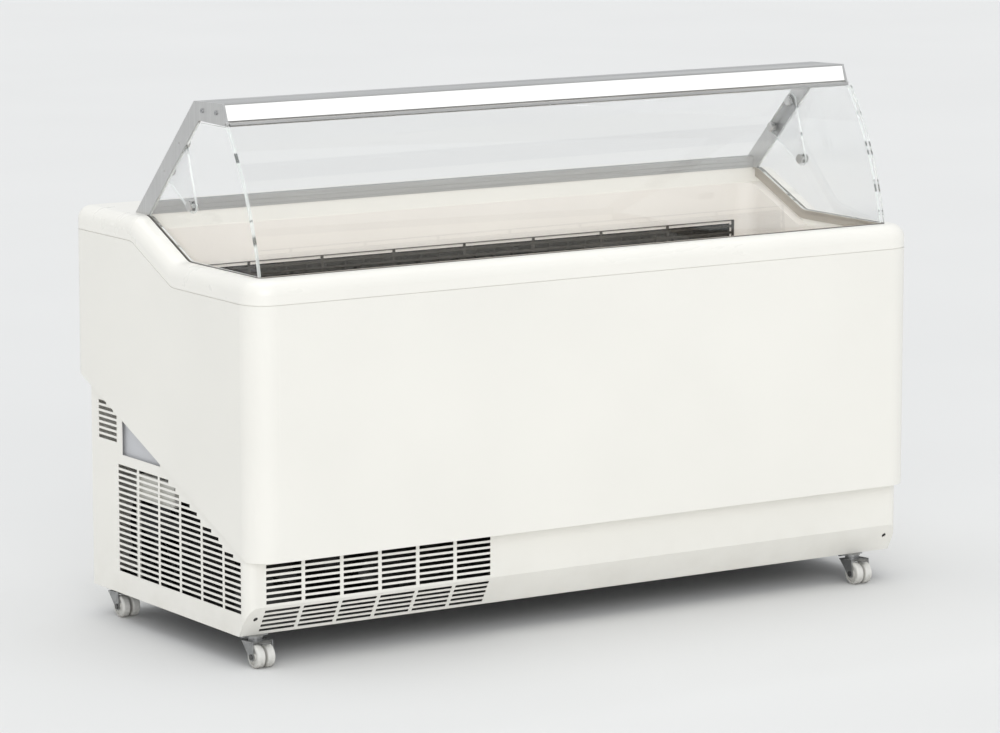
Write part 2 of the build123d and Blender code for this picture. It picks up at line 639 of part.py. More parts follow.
def condenser():
    """Finned condenser block behind the fan, standing on the tray."""
    x0 = CONDENSER_X
    x1 = x0 + CONDENSER_W
    z0 = BASE_Z + TRAY_T
    y0, y1 = FAN_Y - SHROUD_HALF + 8, FAN_Y + SHROUD_HALF - 8
    z1 = FAN_Z + SHROUD_HALF
    block = box((x0, x1), (y0, y0 + 3), (z0, z1)) + box((x0, x1), (y1 - 3, y1), (z0, z1))
    block = block + box((x0, x1), (y0, y1), (z0, z0 + 3))
    for i in range(CONDENSER_FINS):
        y = y0 + 8 + i * (y1 - y0 - 16) / (CONDENSER_FINS - 1)
        block = block + box((x0 + 2, x1 - 2), (y - 0.7, y + 0.7), (z0 + 14, z1 - 4))
    for row in range(2):
        for level in range(6):
            x = x0 + 18 + 26 * row
            z = z0 + 36 + level * (z1 - z0 - 60) / 5
            block = block + rod((x, y0 - 8, z), (0, 1, 0), CONDENSER_TUBE_R, y1 - y0 + 16)
    return block


def fan_shroud():
    """White plate with a round collar around the fan and two side walls back to the condenser."""
    plate_x = SHROUD_X + SHROUD_COLLAR - SHROUD_T
    low, high = BASE_Z + TRAY_T, FAN_Z + SHROUD_HALF
    y0, y1 = FAN_Y - SHROUD_HALF, FAN_Y + SHROUD_HALF
    plate = box((plate_x, plate_x + SHROUD_T), (y0, y1), (low, high))
    collar = rod((SHROUD_X, FAN_Y, FAN_Z), (1, 0, 0), FAN_R + 4 + SHROUD_T, SHROUD_COLLAR)
    bore = rod((SHROUD_X - 5, FAN_Y, FAN_Z), (1, 0, 0), FAN_R + 4, 2 * SHROUD_COLLAR)
    side_x = (plate_x, CONDENSER_X - FIT_GAP)
    walls = [box(side_x, (y, y + SHROUD_T), (low, high)) for y in (y0, y1 - SHROUD_T)]
    return plate + collar - bore + walls


def fan_motor():
    """Small motor on a strap bracket, with the shaft towards the grille."""
    can = rod((MOTOR_X, FAN_Y, FAN_Z), (1, 0, 0), MOTOR_R, 30)
    shaft = rod((MOTOR_X - 28, FAN_Y, FAN_Z), (1, 0, 0), FAN_SHAFT_R, 30)
    strap_half = SHROUD_HALF - SHROUD_T
    strap = box((MOTOR_X + 8, MOTOR_X + 22), (FAN_Y - strap_half, FAN_Y + strap_half),
                (FAN_Z - 6, FAN_Z + 6))
    return can + shaft + strap


def fan_blade():
    """Twisted blades on a hub, trimmed to a circle."""
    hub = rod((MOTOR_X - 30, FAN_Y, FAN_Z), (1, 0, 0), 20, 26)
    hub = hub - rod((MOTOR_X - 40, FAN_Y, FAN_Z), (1, 0, 0), FAN_SHAFT_R + RUNNING, 60)
    length = FAN_R - 14
    fan = hub
    for i in range(FAN_BLADES):
        blade = Pos(0, 0, 14 + length / 2) * Box(2.5, 46, length)
        blade = Pos(MOTOR_X - 17, FAN_Y, FAN_Z) * Rot(i * 360 / FAN_BLADES, 0, 0) * Rot(0, 0, 28) * blade
        fan = fan + blade
    limit = rod((MOTOR_X - 60, FAN_Y, FAN_Z), (1, 0, 0), FAN_R, 60)
    bore = rod((MOTOR_X - 60, FAN_Y, FAN_Z), (1, 0, 0), FAN_SHAFT_R + RUNNING, 90)
    return (fan & limit) - bore


def refrigerant_lines():
    """Copper lines from the compressor to the condenser, and up to the insulated body."""
    x, y = COMPRESSOR_AT
    z_top = BASE_Z + TRAY_T + MOUNT_H + 2 * FOOT_T + COMPRESSOR_H
    condenser_x = CONDENSER_X + CONDENSER_W + 8
    lines = []
    hot = FilletPolyline((x - 30, y, z_top), (x - 30, y, z_top + 26), (condenser_x + 30, y, z_top + 26),
                         (condenser_x + 30, y, FAN_Z + 60), (condenser_x - 7, y, FAN_Z + 60), radius=14)
    cold = FilletPolyline((x + 30, y, z_top), (x + 30, y, z_top + 40), (x + 30, y + 150, z_top + 40),
                          (x + 30, y + 150, undercut_z(y + 150) - 3), radius=14)
    for path, radius in ((hot, HOT_LINE_R), (cold, COLD_LINE_R)):
        section = Plane(origin=path @ 0, z_dir=path % 0) * Circle(radius)
        lines.append(sweep(section, path=path))
    return lines


def terminal_box():
    """Terminal box on an upright bracket that stands on the tray behind the left grille."""
    x0 = -BASE_HALF + SHEET + TERMINAL_GAP
    y0, y1 = TERMINAL_Y
    z0, z1 = TERMINAL_Z
    case = box((x0, x0 + TERMINAL_T), (y0, y1 - TERMINAL_POST), (z0, z1))
    case = fillet(case.edges().filter_by(Axis.X), 8)
    case = case + box((x0, x0 + 3), (y0 + 20, y1), (z0 + 10, z1 - 10))
    return case + box((x0, x0 + 3), (y1 - TERMINAL_POST, y1), (BASE_Z + TRAY_T, z1))


# ---------------------------------------------------------------- controls
def panel_box(inset, depth_from, depth_to):
    """Block over the fascia's outline drawn in by inset, between two depths behind the rear face."""
    x, z = PANEL_AT
    half_w, half_h = PANEL_W / 2 - inset, PANEL_H / 2 - inset
    return box((x - half_w, x + half_w), (HALF_D - depth_from, HALF_D - depth_to), (z - half_h, z + half_h))


def control_fascia():
    """Plastic box set flush in the rear wall, with windows for the rockers and the thermostat."""
    z = PANEL_AT[1]
    floor_y = HALF_D - DISH_DEPTH
    shell = panel_box(0, PANEL_DEPTH, 0) - panel_box(2, PANEL_DEPTH + 1, FASCIA_T)
    shell = shell + (panel_box(6, DISH_DEPTH + FASCIA_T, 2) - panel_box(8, DISH_DEPTH, -1))
    shell = shell + panel_box(4, DISH_DEPTH + FASCIA_T, DISH_DEPTH) - panel_box(8, DISH_DEPTH, -1)
    width, height = ROCKER
    for x in rocker_places():
        cheek = box((x - width / 2 - 3, x + width / 2 + 3), (floor_y - 10, floor_y),
                    (z - height / 2 - 4, z + height / 2 + 4))
        well = box((x - width / 2 - 0.6, x + width / 2 + 0.6), (floor_y - 18, HALF_D),
                   (z - height / 2 - 1.4, z + height / 2 + 1.4))
        pivot = rod((x - width, floor_y - 4, z), (1, 0, 0), ROCKER_PIN_R + RUNNING, 2 * width)
        shell = shell + cheek - well - pivot
    return shell - rod((knob_x(), HALF_D - 30, z), (0, 1, 0), 2 * DIAL_SHAFT_R, 40)


def rocker_places():
    """X of the two rocker switches."""
    return (PANEL_AT[0] - 78, PANEL_AT[0] - 42)


def knob_x():
    """X of the thermostat's shaft."""
    return PANEL_AT[0] + 50


def rocker(x):
    """Rocker key with two trunnions, resting on its off side."""
    width, height = ROCKER
    z = PANEL_AT[1]
    outline = [(-4, -height / 2), (4, -height / 2), (2.6, 0), (4, height / 2), (-4, height / 2)]
    key = side_prism(outline, -width / 2, width / 2)
    key = key + rod((-width / 2 - 1.8, 0, 0), (1, 0, 0), ROCKER_PIN_R, width + 3.6)
    return Pos(x, HALF_D - DISH_DEPTH - 4, z) * Rot(ROCKER_TILT, 0, 0) * key


def thermostat():
    """Thermostat body behind the fascia, with its shaft."""
    x, z = knob_x(), PANEL_AT[1]
    floor_y = HALF_D - DISH_DEPTH
    body = box((x - 22, x + 22), (HALF_D - PANEL_DEPTH + 3, floor_y - FASCIA_T - FIT_GAP), (z - 18, z + 18))
    collar = rod((x, floor_y - 4, z), (0, 1, 0), 2 * DIAL_SHAFT_R - FIT_GAP, 3.6)
    shaft = rod((x, floor_y - 4, z), (0, 1, 0), DIAL_SHAFT_R, DISH_DEPTH)
    return body + collar + shaft


def thermostat_knob():
    """Turned knob with a pointer groove and grip flutes."""
    x, z = knob_x(), PANEL_AT[1]
    floor_y = HALF_D - DISH_DEPTH
    knob = rod((x, floor_y + FIT_GAP, z), (0, 1, 0), DIAL_R, DISH_DEPTH - 2)
    knob = fillet(knob.edges().filter_by(GeomType.CIRCLE).sort_by(Axis.Y)[-1], 1.5)
    knob = knob - rod((x, floor_y, z), (0, 1, 0), DIAL_SHAFT_R + RUNNING, DISH_DEPTH - 3.6)
    knob = knob - box((x - 1, x + 1), (HALF_D - 2.5, HALF_D), (z + 6, z + 20))
    for i in range(18):
        flute = Pos(DIAL_R + 0.6, 0, 0) * Rot(90, 0, 0) * Cylinder(1.3, 14)
        knob = knob - Pos(x, HALF_D - 6.5, z) * Rot(0, i * 20, 0) * flute
    return knob


def cord_gland():
    """Flanged gland in the rear base panel, bored for the supply cord."""
    x, z = GLAND_AT
    y = BASE_REAR_Y
    body = rod((x, y - 16, z), (0, 1, 0), GLAND_R, 16)
    flange = Plane(origin=(x, y, z), z_dir=(0, 1, 0)) * RegularPolygon(13, 6)
    nut = rod((x, y - SHEET - 4, z), (0, 1, 0), 12, 4)
    cap = rod((x, y + 5, z), (0, 1, 0), 9, 9)
    gland = body + extrude(flange, amount=5) + nut + cap
    return gland - rod((x, y - 30, z), (0, 1, 0), GLAND_BORE_R, 60)


# ---------------------------------------------------------------- canopy and glass
def pane_circle():
    """Centre and radius of the pane's outer face in (Y, Z)."""
    y0, z0 = PANE_TOP
    y1, z1 = PANE_FOOT
    chord = math.hypot(y0 - y1, z0 - z1)
    radius = (chord / 2) ** 2 / (2 * PANE_SAG) + PANE_SAG / 2
    ny, nz = -(z0 - z1) / chord, (y0 - y1) / chord
    back = radius - PANE_SAG
    return (y0 + y1) / 2 - ny * back, (z0 + z1) / 2 - nz * back, radius


def pane_point(radius, z):
    """Point at height z on a circle about the pane's centre."""
    cy, cz, _ = pane_circle()
    return cy - math.sqrt(radius ** 2 - (z - cz) ** 2), z


def pane_top_point(depth):
    """Point on the pane's top edge, depth behind its outer face."""
    cy, cz, radius = pane_circle()
    y0, z0 = PANE_TOP
    share = (radius - depth) / radius
    return cy + (y0 - cy) * share, cz + (z0 - cz) * share


def front_glass():
    """Curved front pane between two arcs."""
    _, _, radius = pane_circle()
    inner = radius - PANE_T
    foot_z = PANE_FOOT[1]
    outer_top, inner_top = pane_top_point(0), pane_top_point(PANE_T)
    outer_foot, inner_foot = pane_point(radius, foot_z), pane_point(inner, foot_z)
    middle_z = (foot_z + PANE_TOP[1]) / 2
    outline = [ThreePointArc(outer_top, pane_point(radius, middle_z), outer_foot),
               Line(outer_foot, inner_foot),
               ThreePointArc(inner_foot, pane_point(inner, middle_z), inner_top),
               Line(inner_top, outer_top)]
    face = make_face(outline)
    return extrude(Plane.YZ.offset(-PANE_HALF) * face, amount=2 * PANE_HALF)


def front_glass_hinge():
    """Hinge bar along the pane's top edge, with a pivot pin at each end."""
    half = POST_OUT - POST_T - FIT_GAP
    y, z = PIVOT
    bar = rod((-half, y, z), (1, 0, 0), ROD_R, 2 * half)
    cy, cz, radius = pane_circle()
    up = 4.0 / radius
    outer, inner = pane_top_point(0), pane_top_point(PANE_T)
    lift = [(p[0] + (p[1] - cz) * up, p[1] - (p[0] - cy) * up) for p in (outer, inner)]
    cap = side_prism([outer, lift[0], (y, z + ROD_R - 1), (y, z - ROD_R + 1), inner], -half, half)
    pins = rod((-POST_OUT + 2, y, z), (1, 0, 0), PIVOT_PIN_R, 2 * POST_OUT - 4)
    return bar + cap + pins


def left_post():
    """Flat-bar post and end plate in one piece, with the hinge hole and screw holes."""
    foot = DECK_Z
    rear = POST_FOOT_Y + POST_RUN
    top_y = rear - (ROOF_REAR_Z - foot)
    inner_y = POST_FOOT_Y - (CANOPY_UNDER_Z - foot)
    outline = [(POST_FOOT_Y, foot), (rear, foot), (top_y, ROOF_REAR_Z), (CANOPY_FRONT_Y, CANOPY_TOP_Z),
               (CANOPY_NOSE_Y - 1, PIVOT[1] + 1), (PIVOT[0], PIVOT[1] - 4), (inner_y, CANOPY_UNDER_Z)]
    plate = side_prism(outline, -POST_OUT, -POST_OUT + POST_T)
    plate = plate + rod((-POST_OUT, *PIVOT), (1, 0, 0), EAR_R, POST_T)
    plate = plate - rod((-POST_OUT - 5, *PIVOT), (1, 0, 0), PIVOT_PIN_R + RUNNING, 20)
    for y, z in plate_screws():
        plate = plate - rod((-POST_OUT - 5, y, z), (1, 0, 0), SCREW_HOLE_R, 20)
    for y, z in knob_places():
        plate = plate - rod((-POST_OUT - 5, y, z), (1, 0, 0), KNOB_HOLE_R, 20)
    return plate


def plate_screws():
    """(Y, Z) of the two screws through each end plate into the canopy."""
    z = CANOPY_TOP_Z - BOSS_DROP
    return [(CANOPY_REAR_Y - 35.5, z), (CANOPY_FRONT_Y + 25, z + 1)]


def knob_places():
    """(Y, Z) of the two knobs on each post, on the bar's centre line."""
    middle = POST_FOOT_Y + POST_RUN / 2
    return [(middle - KNOB_A, DECK_Z + KNOB_A), (middle - KNOB_B, DECK_Z + KNOB_B)]


def canopy_profile():
    """Hollow roof extrusion, open at the front for the lamp cover."""
    half = POST_OUT - POST_T
    wall = CANOPY_WALL
    low_rear_y = CANOPY_REAR_Y - CANOPY_REAR_LEAN
    lip_y, lip_z = PIVOT[0] + ROD_R + 3, PIVOT[1] + ROD_R + 0.5
    outer = [(CANOPY_FRONT_Y, CANOPY_TOP_Z), (CANOPY_REAR_Y, ROOF_REAR_Z), (low_rear_y, CANOPY_UNDER_Z),
             (lip_y + 4, lip_z - wall), (lip_y, lip_z)]
    inner = [(CANOPY_FRONT_Y - 8, CANOPY_TOP_Z - wall), (CANOPY_REAR_Y - 6, ROOF_REAR_Z - wall),
             (low_rear_y - wall, CANOPY_UNDER_Z + wall), (lip_y + 4, lip_z), (lip_y - 4, lip_z + 1.3)]
    shell = side_prism(outer, -half, half) - side_prism(inner, -half - 1, half + 1)
    for y, z in plate_screws():
        boss = rod((-half, y, z), (1, 0, 0), BOSS_R, 2 * half)
        post = box((-half, half), (y - 2, y + 2), (z, CANOPY_TOP_Z - wall))
        shell = shell + boss + post
    for y, z in plate_screws():
        for x0 in (-half - 1, half - 19):
            shell = shell - rod((x0, y, z), (1, 0, 0), SCREW_HOLE_R, 20)
    return shell


def front_face_y(z):
    """Depth of the canopy's front face at a height."""
    share = (CANOPY_TOP_Z - z) / (CANOPY_TOP_Z - CANOPY_UNDER_Z)
    return CANOPY_FRONT_Y + (CANOPY_NOSE_Y - CANOPY_FRONT_Y) * share


def lamp_diffuser():
    """Opal cover along the canopy's front, with a lip turned in at the top and bottom."""
    half = POST_OUT - POST_T - FIT_GAP
    top, low = CANOPY_TOP_Z - CANOPY_WALL - 1, PIVOT[1] + ROD_R + 3
    t = DIFFUSER_T
    low_y, top_y = front_face_y(low), front_face_y(top)
    low_lip, top_lip = low_y + DIFFUSER_LIP, top_y + DIFFUSER_LIP + t
    outline = [(top_y - 1, top), (low_y, low), (low_lip, low), (low_lip, low + t), (low_y + t, low + t),
               (top_y + t, top - t), (top_lip, top - t), (top_lip, top)]
    return side_prism(outline, -half, half)


def led_strip():
    """Light strip on an aluminium back, hung under the roof behind the cover."""
    half = POST_OUT - POST_T - 30
    y, z = CANOPY_FRONT_Y + 12.5, CANOPY_TOP_Z - CANOPY_WALL - 1
    strip = box((-half, half), (y, y + LED_W), (z - 2, z))
    for i in range(LED_CHIPS):
        x = -half + 16 + i * (2 * half - 32) / (LED_CHIPS - 1)
        strip = strip + box((x - 2, x + 2), (y + 1.5, y + 4.5), (z - 3, z - 1.9))
    return strip


def left_end_glass():
    """Flat end pane between rim, post and canopy, with its front edge on the front pane's curve."""
    _, _, radius = pane_circle()
    edge = radius - PANE_T - PANE_GAP
    top_z = CANOPY_UNDER_Z - 5
    foot_z = RIM_Z - 5
    front_top, front_foot = pane_point(edge, top_z), pane_point(edge, foot_z)
    rear_y = POST_FOOT_Y - PANE_GAP
    outline = [ThreePointArc(front_top, pane_point(edge, (top_z + foot_z) / 2), front_foot),
               Polyline(front_foot, (rear_y, foot_z), (rear_y, DECK_Z),
                        (rear_y - (top_z - DECK_Z), top_z), front_top)]
    face = make_face(outline)
    x0 = -POST_OUT + FIT_GAP
    pane = extrude(Plane.YZ.offset(x0) * face, amount=GLASS_T) - step_block(-FIT_GAP)
    return pane - rod((-POST_OUT - 5, *DISC_AT), (1, 0, 0), DISC_HOLE_R, 20)


def gusset():
    """Clear plate that ties the left end pane to the post: a triangle with rounded corners."""
    places = knob_places() + [DISC_AT]
    outline = make_hull([edge for y, z in places for edge in (Pos(y, z) * Circle(GUSSET_R)).edges()])
    x0 = -POST_OUT + POST_T
    plate = extrude(Plane.YZ.offset(x0) * outline, amount=GLASS_T)
    for y, z in knob_places():
        plate = plate - rod((x0 - 5, y, z), (1, 0, 0), KNOB_HOLE_R, 20)
    return plate - rod((x0 - 5, *DISC_AT), (1, 0, 0), DISC_HOLE_R, 20)


def glass_fixings():
    """Knobs on the left post and the two-sided disc through the end pane."""
    x0 = -POST_OUT + POST_T + GLASS_T
    fixings = []
    for y, z in knob_places():
        head = rod((x0, y, z), (1, 0, 0), KNOB_R, KNOB_T)
        head = chamfer(head.edges().filter_by(GeomType.CIRCLE).sort_by(Axis.X)[-1], 2)
        stud = rod((-POST_OUT + 0.5, y, z), (1, 0, 0), KNOB_STUD_R, POST_OUT + x0)
        fixings.append(head + stud)
    inside = rod((x0, *DISC_AT), (1, 0, 0), KNOB_R, 6)
    outside = rod((-POST_OUT - 3, *DISC_AT), (1, 0, 0), KNOB_R, 3.5)
    stud = rod((-POST_OUT - 1, *DISC_AT), (1, 0, 0), DISC_STUD_R, POST_OUT + x0 + 2)
    fixings.append(inside + outside + stud)
    return fixings


def rear_rail():
    """Grooved rail on the deck along the well's rear edge, tied to both posts."""
    half = POST_OUT - POST_T
    y0 = WELL_REAR_Y
    rail = box((-half, half), (y0, y0 + RAIL_D), (DECK_Z, DECK_Z + RAIL_H))
    for z in (5.0, 14.5):
        rail = rail - box((-half - 1, half + 1), (y0 - 1, y0 + RAIL_GROOVE),
                          (DECK_Z + z, DECK_Z + z + RAIL_GROOVE))
    for y in (6.0, 15.0):
        rail = rail - box((-half - 1, half + 1), (y0 + y, y0 + y + 4),
                          (DECK_Z + RAIL_H - 8, DECK_Z + RAIL_H + 1))
    return rail


def cover_screws():
    """Pan-head screws of the end plates and the rear panel."""
    screws = []
    for y, z in plate_screws():
        head = rod((-POST_OUT - 2.5, y, z), (1, 0, 0), 5, 2.5)
        screw = head + rod((-POST_OUT - 1, y, z), (1, 0, 0), SCREW_R, 18)
        screw = screw - rod((-POST_OUT - 3, y, z), (1, 0, 0), 1.5, 2)
        screws += [screw, mirrored(screw)]
    outer_x = BASE_HALF - 40
    for x in (-outer_x, -100, 100, outer_x):
        for z in (BASE_Z + 40, undercut_z(BASE_REAR_Y) - 30):
            screws.append(rod((x, BASE_REAR_Y, z), (0, 1, 0), 5, 2.5))
    return screws


# ---------------------------------------------------------------- casters
def caster_plate(x, y):
    """Bracket with four bolt heads, upper race and kingpin of one caster."""
    plate = box((x - 30, x + 30), (y, y + 54), (PLATE_Z, BASE_Z))
    plate = plate + rod((x, y, PLATE_Z), (0, 0, 1), RACE_R + 2, PLATE_T)
    race = rod((x, y, RACE_Z + RACE_GAP), (0, 0, 1), RACE_R, PLATE_Z - RACE_Z)
    head_z = CROWN[0] - 4.5
    head = rod((x, y, head_z), (0, 0, 1), KINGPIN_HEAD_R, 4)
    pin = rod((x, y, head_z), (0, 0, 1), KINGPIN_R, PLATE_Z - head_z)
    bracket = plate + race + pin + head
    for dx in (-22, 22):
        for dy in (16, 43):
            bolt = extrude(RegularPolygon(5, 6), amount=PLATE_T + 1)
            bracket = bracket + Pos(x + dx, y + dy, PLATE_Z - PLATE_T) * bolt
    return bracket


def caster_fork(x, y, braked):
    """Pressed fork: crown, lower race and two tapered cheeks."""
    outer = FORK_IN + FORK_T
    crown = box((x - outer, x + outer), (y + CROWN_Y[0], y + CROWN_Y[1]), CROWN)
    race = rod((x, y, CROWN[0]), (0, 0, 1), RACE_R, RACE_Z - CROWN[0])
    fork = crown + race
    cheek = [(CROWN_Y[1], CROWN[1]), (-31, CROWN[1] + 3),
             (-TRAIL - 7.8, WHEEL_R - 2), (-TRAIL + 6, WHEEL_R - 6)]
    for x0 in (x - outer, x + FORK_IN):
        plate = side_prism([(y + p, z) for p, z in cheek], x0, x0 + FORK_T)
        plate = plate + rod((x0, y - TRAIL, WHEEL_R), (1, 0, 0), AXLE_HEAD_R + 3, FORK_T)
        fork = fork + plate
    fork = fork - rod((x - 2 * outer, y - TRAIL, WHEEL_R), (1, 0, 0), AXLE_R, 4 * outer)
    fork = fork - rod((x, y, CROWN[0] - 10), (0, 0, 1), KINGPIN_R + RUNNING, 30)
    if braked:
        pivot_y, pivot_z = LEVER_PIVOT
        start = (x - 2 * outer, y + pivot_y, pivot_z)
        fork = fork - rod(start, (1, 0, 0), LEVER_PIN_R + RUNNING, 4 * outer)
    return fork


def caster_axle(x, y):
    """Axle bolt with a head at each end."""
    reach = FORK_IN + FORK_T
    shaft = rod((x - reach, y - TRAIL, WHEEL_R), (1, 0, 0), AXLE_R, 2 * reach)
    for x0 in (x - reach - 2.5, x + reach):
        shaft = shaft + rod((x0, y - TRAIL, WHEEL_R), (1, 0, 0), AXLE_HEAD_R, 2.5)
    return shaft


def caster_wheel(x, y, side):
    """One wheel of the pair, with a dished outer face."""
    x0 = x + side * (WHEEL_GAP / 2 + WHEEL_W / 2)
    wheel = Pos(x0, y - TRAIL, WHEEL_R) * Rot(0, 90, 0) * Cylinder(WHEEL_R, WHEEL_W)
    wheel = fillet(wheel.edges().filter_by(GeomType.CIRCLE), WHEEL_EDGE_R)
    start = (x0 + side * WHEEL_W / 2 - 2.5, y - TRAIL, WHEEL_R)
    wheel = wheel - (rod(start, (1, 0, 0), WHEEL_R - 7, 5) - rod(start, (1, 0, 0), 2 * AXLE_R, 5))
    return wheel - rod((x0 - WHEEL_W, y - TRAIL, WHEEL_R), (1, 0, 0), AXLE_R + RUNNING, 2 * WHEEL_W)


def brake_lever(x, y):
    """Toe lever between the fork's cheeks, over the wheels."""
    pivot_y, pivot_z = LEVER_PIVOT
    rear_y, tip_y = pivot_y + 0.5, pivot_y - LEVER_REACH
    outline = [(rear_y, pivot_z - 2), (rear_y, pivot_z + 2),
               (tip_y + 2, pivot_z + 2.4), (tip_y, pivot_z - 0.4)]
    lever = side_prism([(y + p, z) for p, z in outline], x - LEVER_HALF, x + LEVER_HALF)
    reach = FORK_IN + FORK_T
    return lever + rod((x - reach, y + pivot_y, pivot_z), (1, 0, 0), LEVER_PIN_R, 2 * reach)


# ---------------------------------------------------------------- write the nodes
save("base_tray", base_tray())
save("base_front_panel", base_front_panel())
save("base_left_panel", base_left_panel())
save("base_right_panel", base_end_panel(1))
save("base_rear_panel", base_rear_panel())
save("recess_plate", recess_plate())
save("outer_shell", outer_shell())
save("top_trim", top_trim())
save("insulation_foam", insulation_foam())
save("well_liner", well_liner())
save("rim_strip", rim_strip())
save("air_grille", air_grille())
save("pan_rails", *pan_rails())
save("evaporator", evaporator())
save("compressor", compressor())
save("compressor_mounts", *compressor_mounts())
save("condenser", condenser())
save("fan_shroud", fan_shroud())
save("fan_motor", fan_motor())
save("fan_blade", fan_blade())
save("refrigerant_lines", *refrigerant_lines())
save("terminal_box", terminal_box())
save("control_fascia", control_fascia())
save("thermostat", thermostat())
save("thermostat_knob", thermostat_knob())
save("power_switch", rocker(rocker_places()[0]))
save("light_switch", rocker(rocker_places()[1]))
save("cord_gland", cord_gland())
save("left_post", left_post())
save("right_post", mirrored(left_post()))
save("canopy_profile", canopy_profile())
save("lamp_diffuser", lamp_diffuser())
save("led_strip", led_strip())
save("left_end_glass", left_end_glass())
save("right_end_glass", mirrored(left_end_glass()))
save("front_glass", front_glass())
save("front_glass_hinge", front_glass_hinge())
save("glass_gussets", gusset(), mirrored(gusset()))
save("glass_fixings", *glass_fixings(), *[mirrored(f) for f in glass_fixings()])
save("rear_rail", rear_rail())
save("cover_screws", *cover_screws())

CORNERS = {
    "front_left": (CASTER_LEFT_X, CASTER_FRONT_Y),
    "front_right": (CASTER_RIGHT_X, CASTER_FRONT_Y),
    "rear_left": (CASTER_LEFT_X, CASTER_REAR_Y),
    "rear_right": (CASTER_RIGHT_X, CASTER_REAR_Y),
}
save("caster_plates", *[caster_plate(x, y) for x, y in CORNERS.values()])
for corner, (x, y) in CORNERS.items():
    braked = corner.startswith("front")
    save(f"caster_fork_{corner}", caster_fork(x, y, braked))
    save(f"caster_axle_{corner}", caster_axle(x, y))
    save(f"caster_wheel_{corner}_a", caster_wheel(x, y, -1))
    save(f"caster_wheel_{corner}_b", caster_wheel(x, y, 1))
    if braked:
        save(f"brake_lever_{corner}", brake_lever(x, y))
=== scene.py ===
"""Scooping cabinet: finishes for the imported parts, the glazing gasket, studio floor, lights and camera."""

import bpy
import math
import numpy as np
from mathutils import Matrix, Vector


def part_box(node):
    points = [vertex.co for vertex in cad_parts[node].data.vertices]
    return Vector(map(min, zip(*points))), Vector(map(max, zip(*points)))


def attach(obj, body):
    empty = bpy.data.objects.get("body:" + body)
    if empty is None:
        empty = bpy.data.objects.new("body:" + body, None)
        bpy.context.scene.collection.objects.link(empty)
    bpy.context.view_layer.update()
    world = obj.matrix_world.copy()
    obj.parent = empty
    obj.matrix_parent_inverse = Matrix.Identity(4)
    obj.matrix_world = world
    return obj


bl_info = {
    "name": "Scooping cabinet",
    "version": (1, 0, 0),
    "blender": (4, 5, 0),
    "location": "View3D > Sidebar > Cabinet",
    "description": "Finishes a scooping cabinet and sets up its studio",
    "category": "Object",
}

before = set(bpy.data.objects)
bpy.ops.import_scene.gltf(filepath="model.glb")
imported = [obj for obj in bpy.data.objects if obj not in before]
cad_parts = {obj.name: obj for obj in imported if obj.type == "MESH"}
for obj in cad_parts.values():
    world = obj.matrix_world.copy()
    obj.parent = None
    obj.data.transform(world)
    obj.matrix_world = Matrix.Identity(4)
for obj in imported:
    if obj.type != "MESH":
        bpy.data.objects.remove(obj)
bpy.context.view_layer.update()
CORNERS = ("front_left", "front_right", "rear_left", "rear_right")
LAMP_WIDTH = 0.04
STEP_START, STEP_END, STEP_BLEND = -0.048, 0.131, 0.045     # where the trim climbs along Y, and its rounding
DUST_BAND = (0.065, 0.2)        # heights above the floor between which each layer fades, in metres
FROST_BAND = (0.56, 0.76)
TREAD_BAND = (0.0, 0.03)
CAMERA_PLACE = (-5.4798, -8.4940, 2.1683)
CAMERA_BEARING, CAMERA_DIP = math.radians(32.8315), math.radians(9.2414)
SENSOR_MM, LENS_MM = 36.0, 163.62
VIEW_REACH = 200.0


# ---------------------------------------------------------------- colour and node helpers
def linear(code):
    """sRGB hex to linear RGBA: c / 12.92 up to 0.04045, then ((c + 0.055) / 1.055) ^ 2.4."""
    shares = [int(code[i:i + 2], 16) / 255 for i in (1, 3, 5)]
    return tuple(c / 12.92 if c <= 0.04045 else ((c + 0.055) / 1.055) ** 2.4 for c in shares) + (1.0,)


def fill(tree, node, inputs):
    """Gives a node's inputs their constants or links."""
    for key, value in inputs.items():
        if isinstance(value, bpy.types.NodeSocket):
            tree.links.new(value, node.inputs[key])
        else:
            node.inputs[key].default_value = value


def add_node(tree, kind, inputs=None, **settings):
    """Adds a node with its settings, constants and links."""
    made = tree.nodes.new(kind)
    for key, value in settings.items():
        setattr(made, key, value)
    fill(tree, made, inputs or {})
    return made


def new_finish(name):
    """Starts a material of that name: its node tree and its shader."""
    old = bpy.data.materials.get(name)
    if old is not None:
        bpy.data.materials.remove(old)
    material = bpy.data.materials.new(name)
    material.use_nodes = True
    return material, material.node_tree, material.node_tree.nodes["Principled BSDF"]


def blotches(tree, size_mm, stretch=(1.0, 1.0, 1.0), turn=(0.0, 0.0, 0.0), detail=3.0):
    """Noise over Object coordinates with blotches of size_mm, drawn out along an axis where stretch is small."""
    place = add_node(tree, "ShaderNodeTexCoord").outputs["Object"]
    scale = 1000.0 / size_mm
    spread = add_node(tree, "ShaderNodeMapping", {"Vector": place, "Rotation": turn,
                                                  "Scale": tuple(scale * s for s in stretch)})
    noise = add_node(tree, "ShaderNodeTexNoise", {"Vector": spread.outputs["Vector"], "Scale": 1.0, "Detail": detail})
    return noise.outputs["Fac"]


def between(tree, value, low, high, start=0.3, end=0.7):
    """Carries a value from start..end to low..high, held at both ends."""
    ranged = add_node(tree, "ShaderNodeMapRange", {"Value": value, "From Min": start, "From Max": end,
                                                   "To Min": low, "To Max": high})
    return ranged.outputs["Result"]


def blend_colour(tree, share, first, second):
    """Mixes two colours by a share of the second."""
    mixed = add_node(tree, "ShaderNodeMix", data_type="RGBA")
    for socket, value in ((mixed.inputs[0], share), (mixed.inputs[6], first), (mixed.inputs[7], second)):
        if isinstance(value, bpy.types.NodeSocket):
            tree.links.new(value, socket)
        else:
            socket.default_value = value
    return mixed.outputs[2]


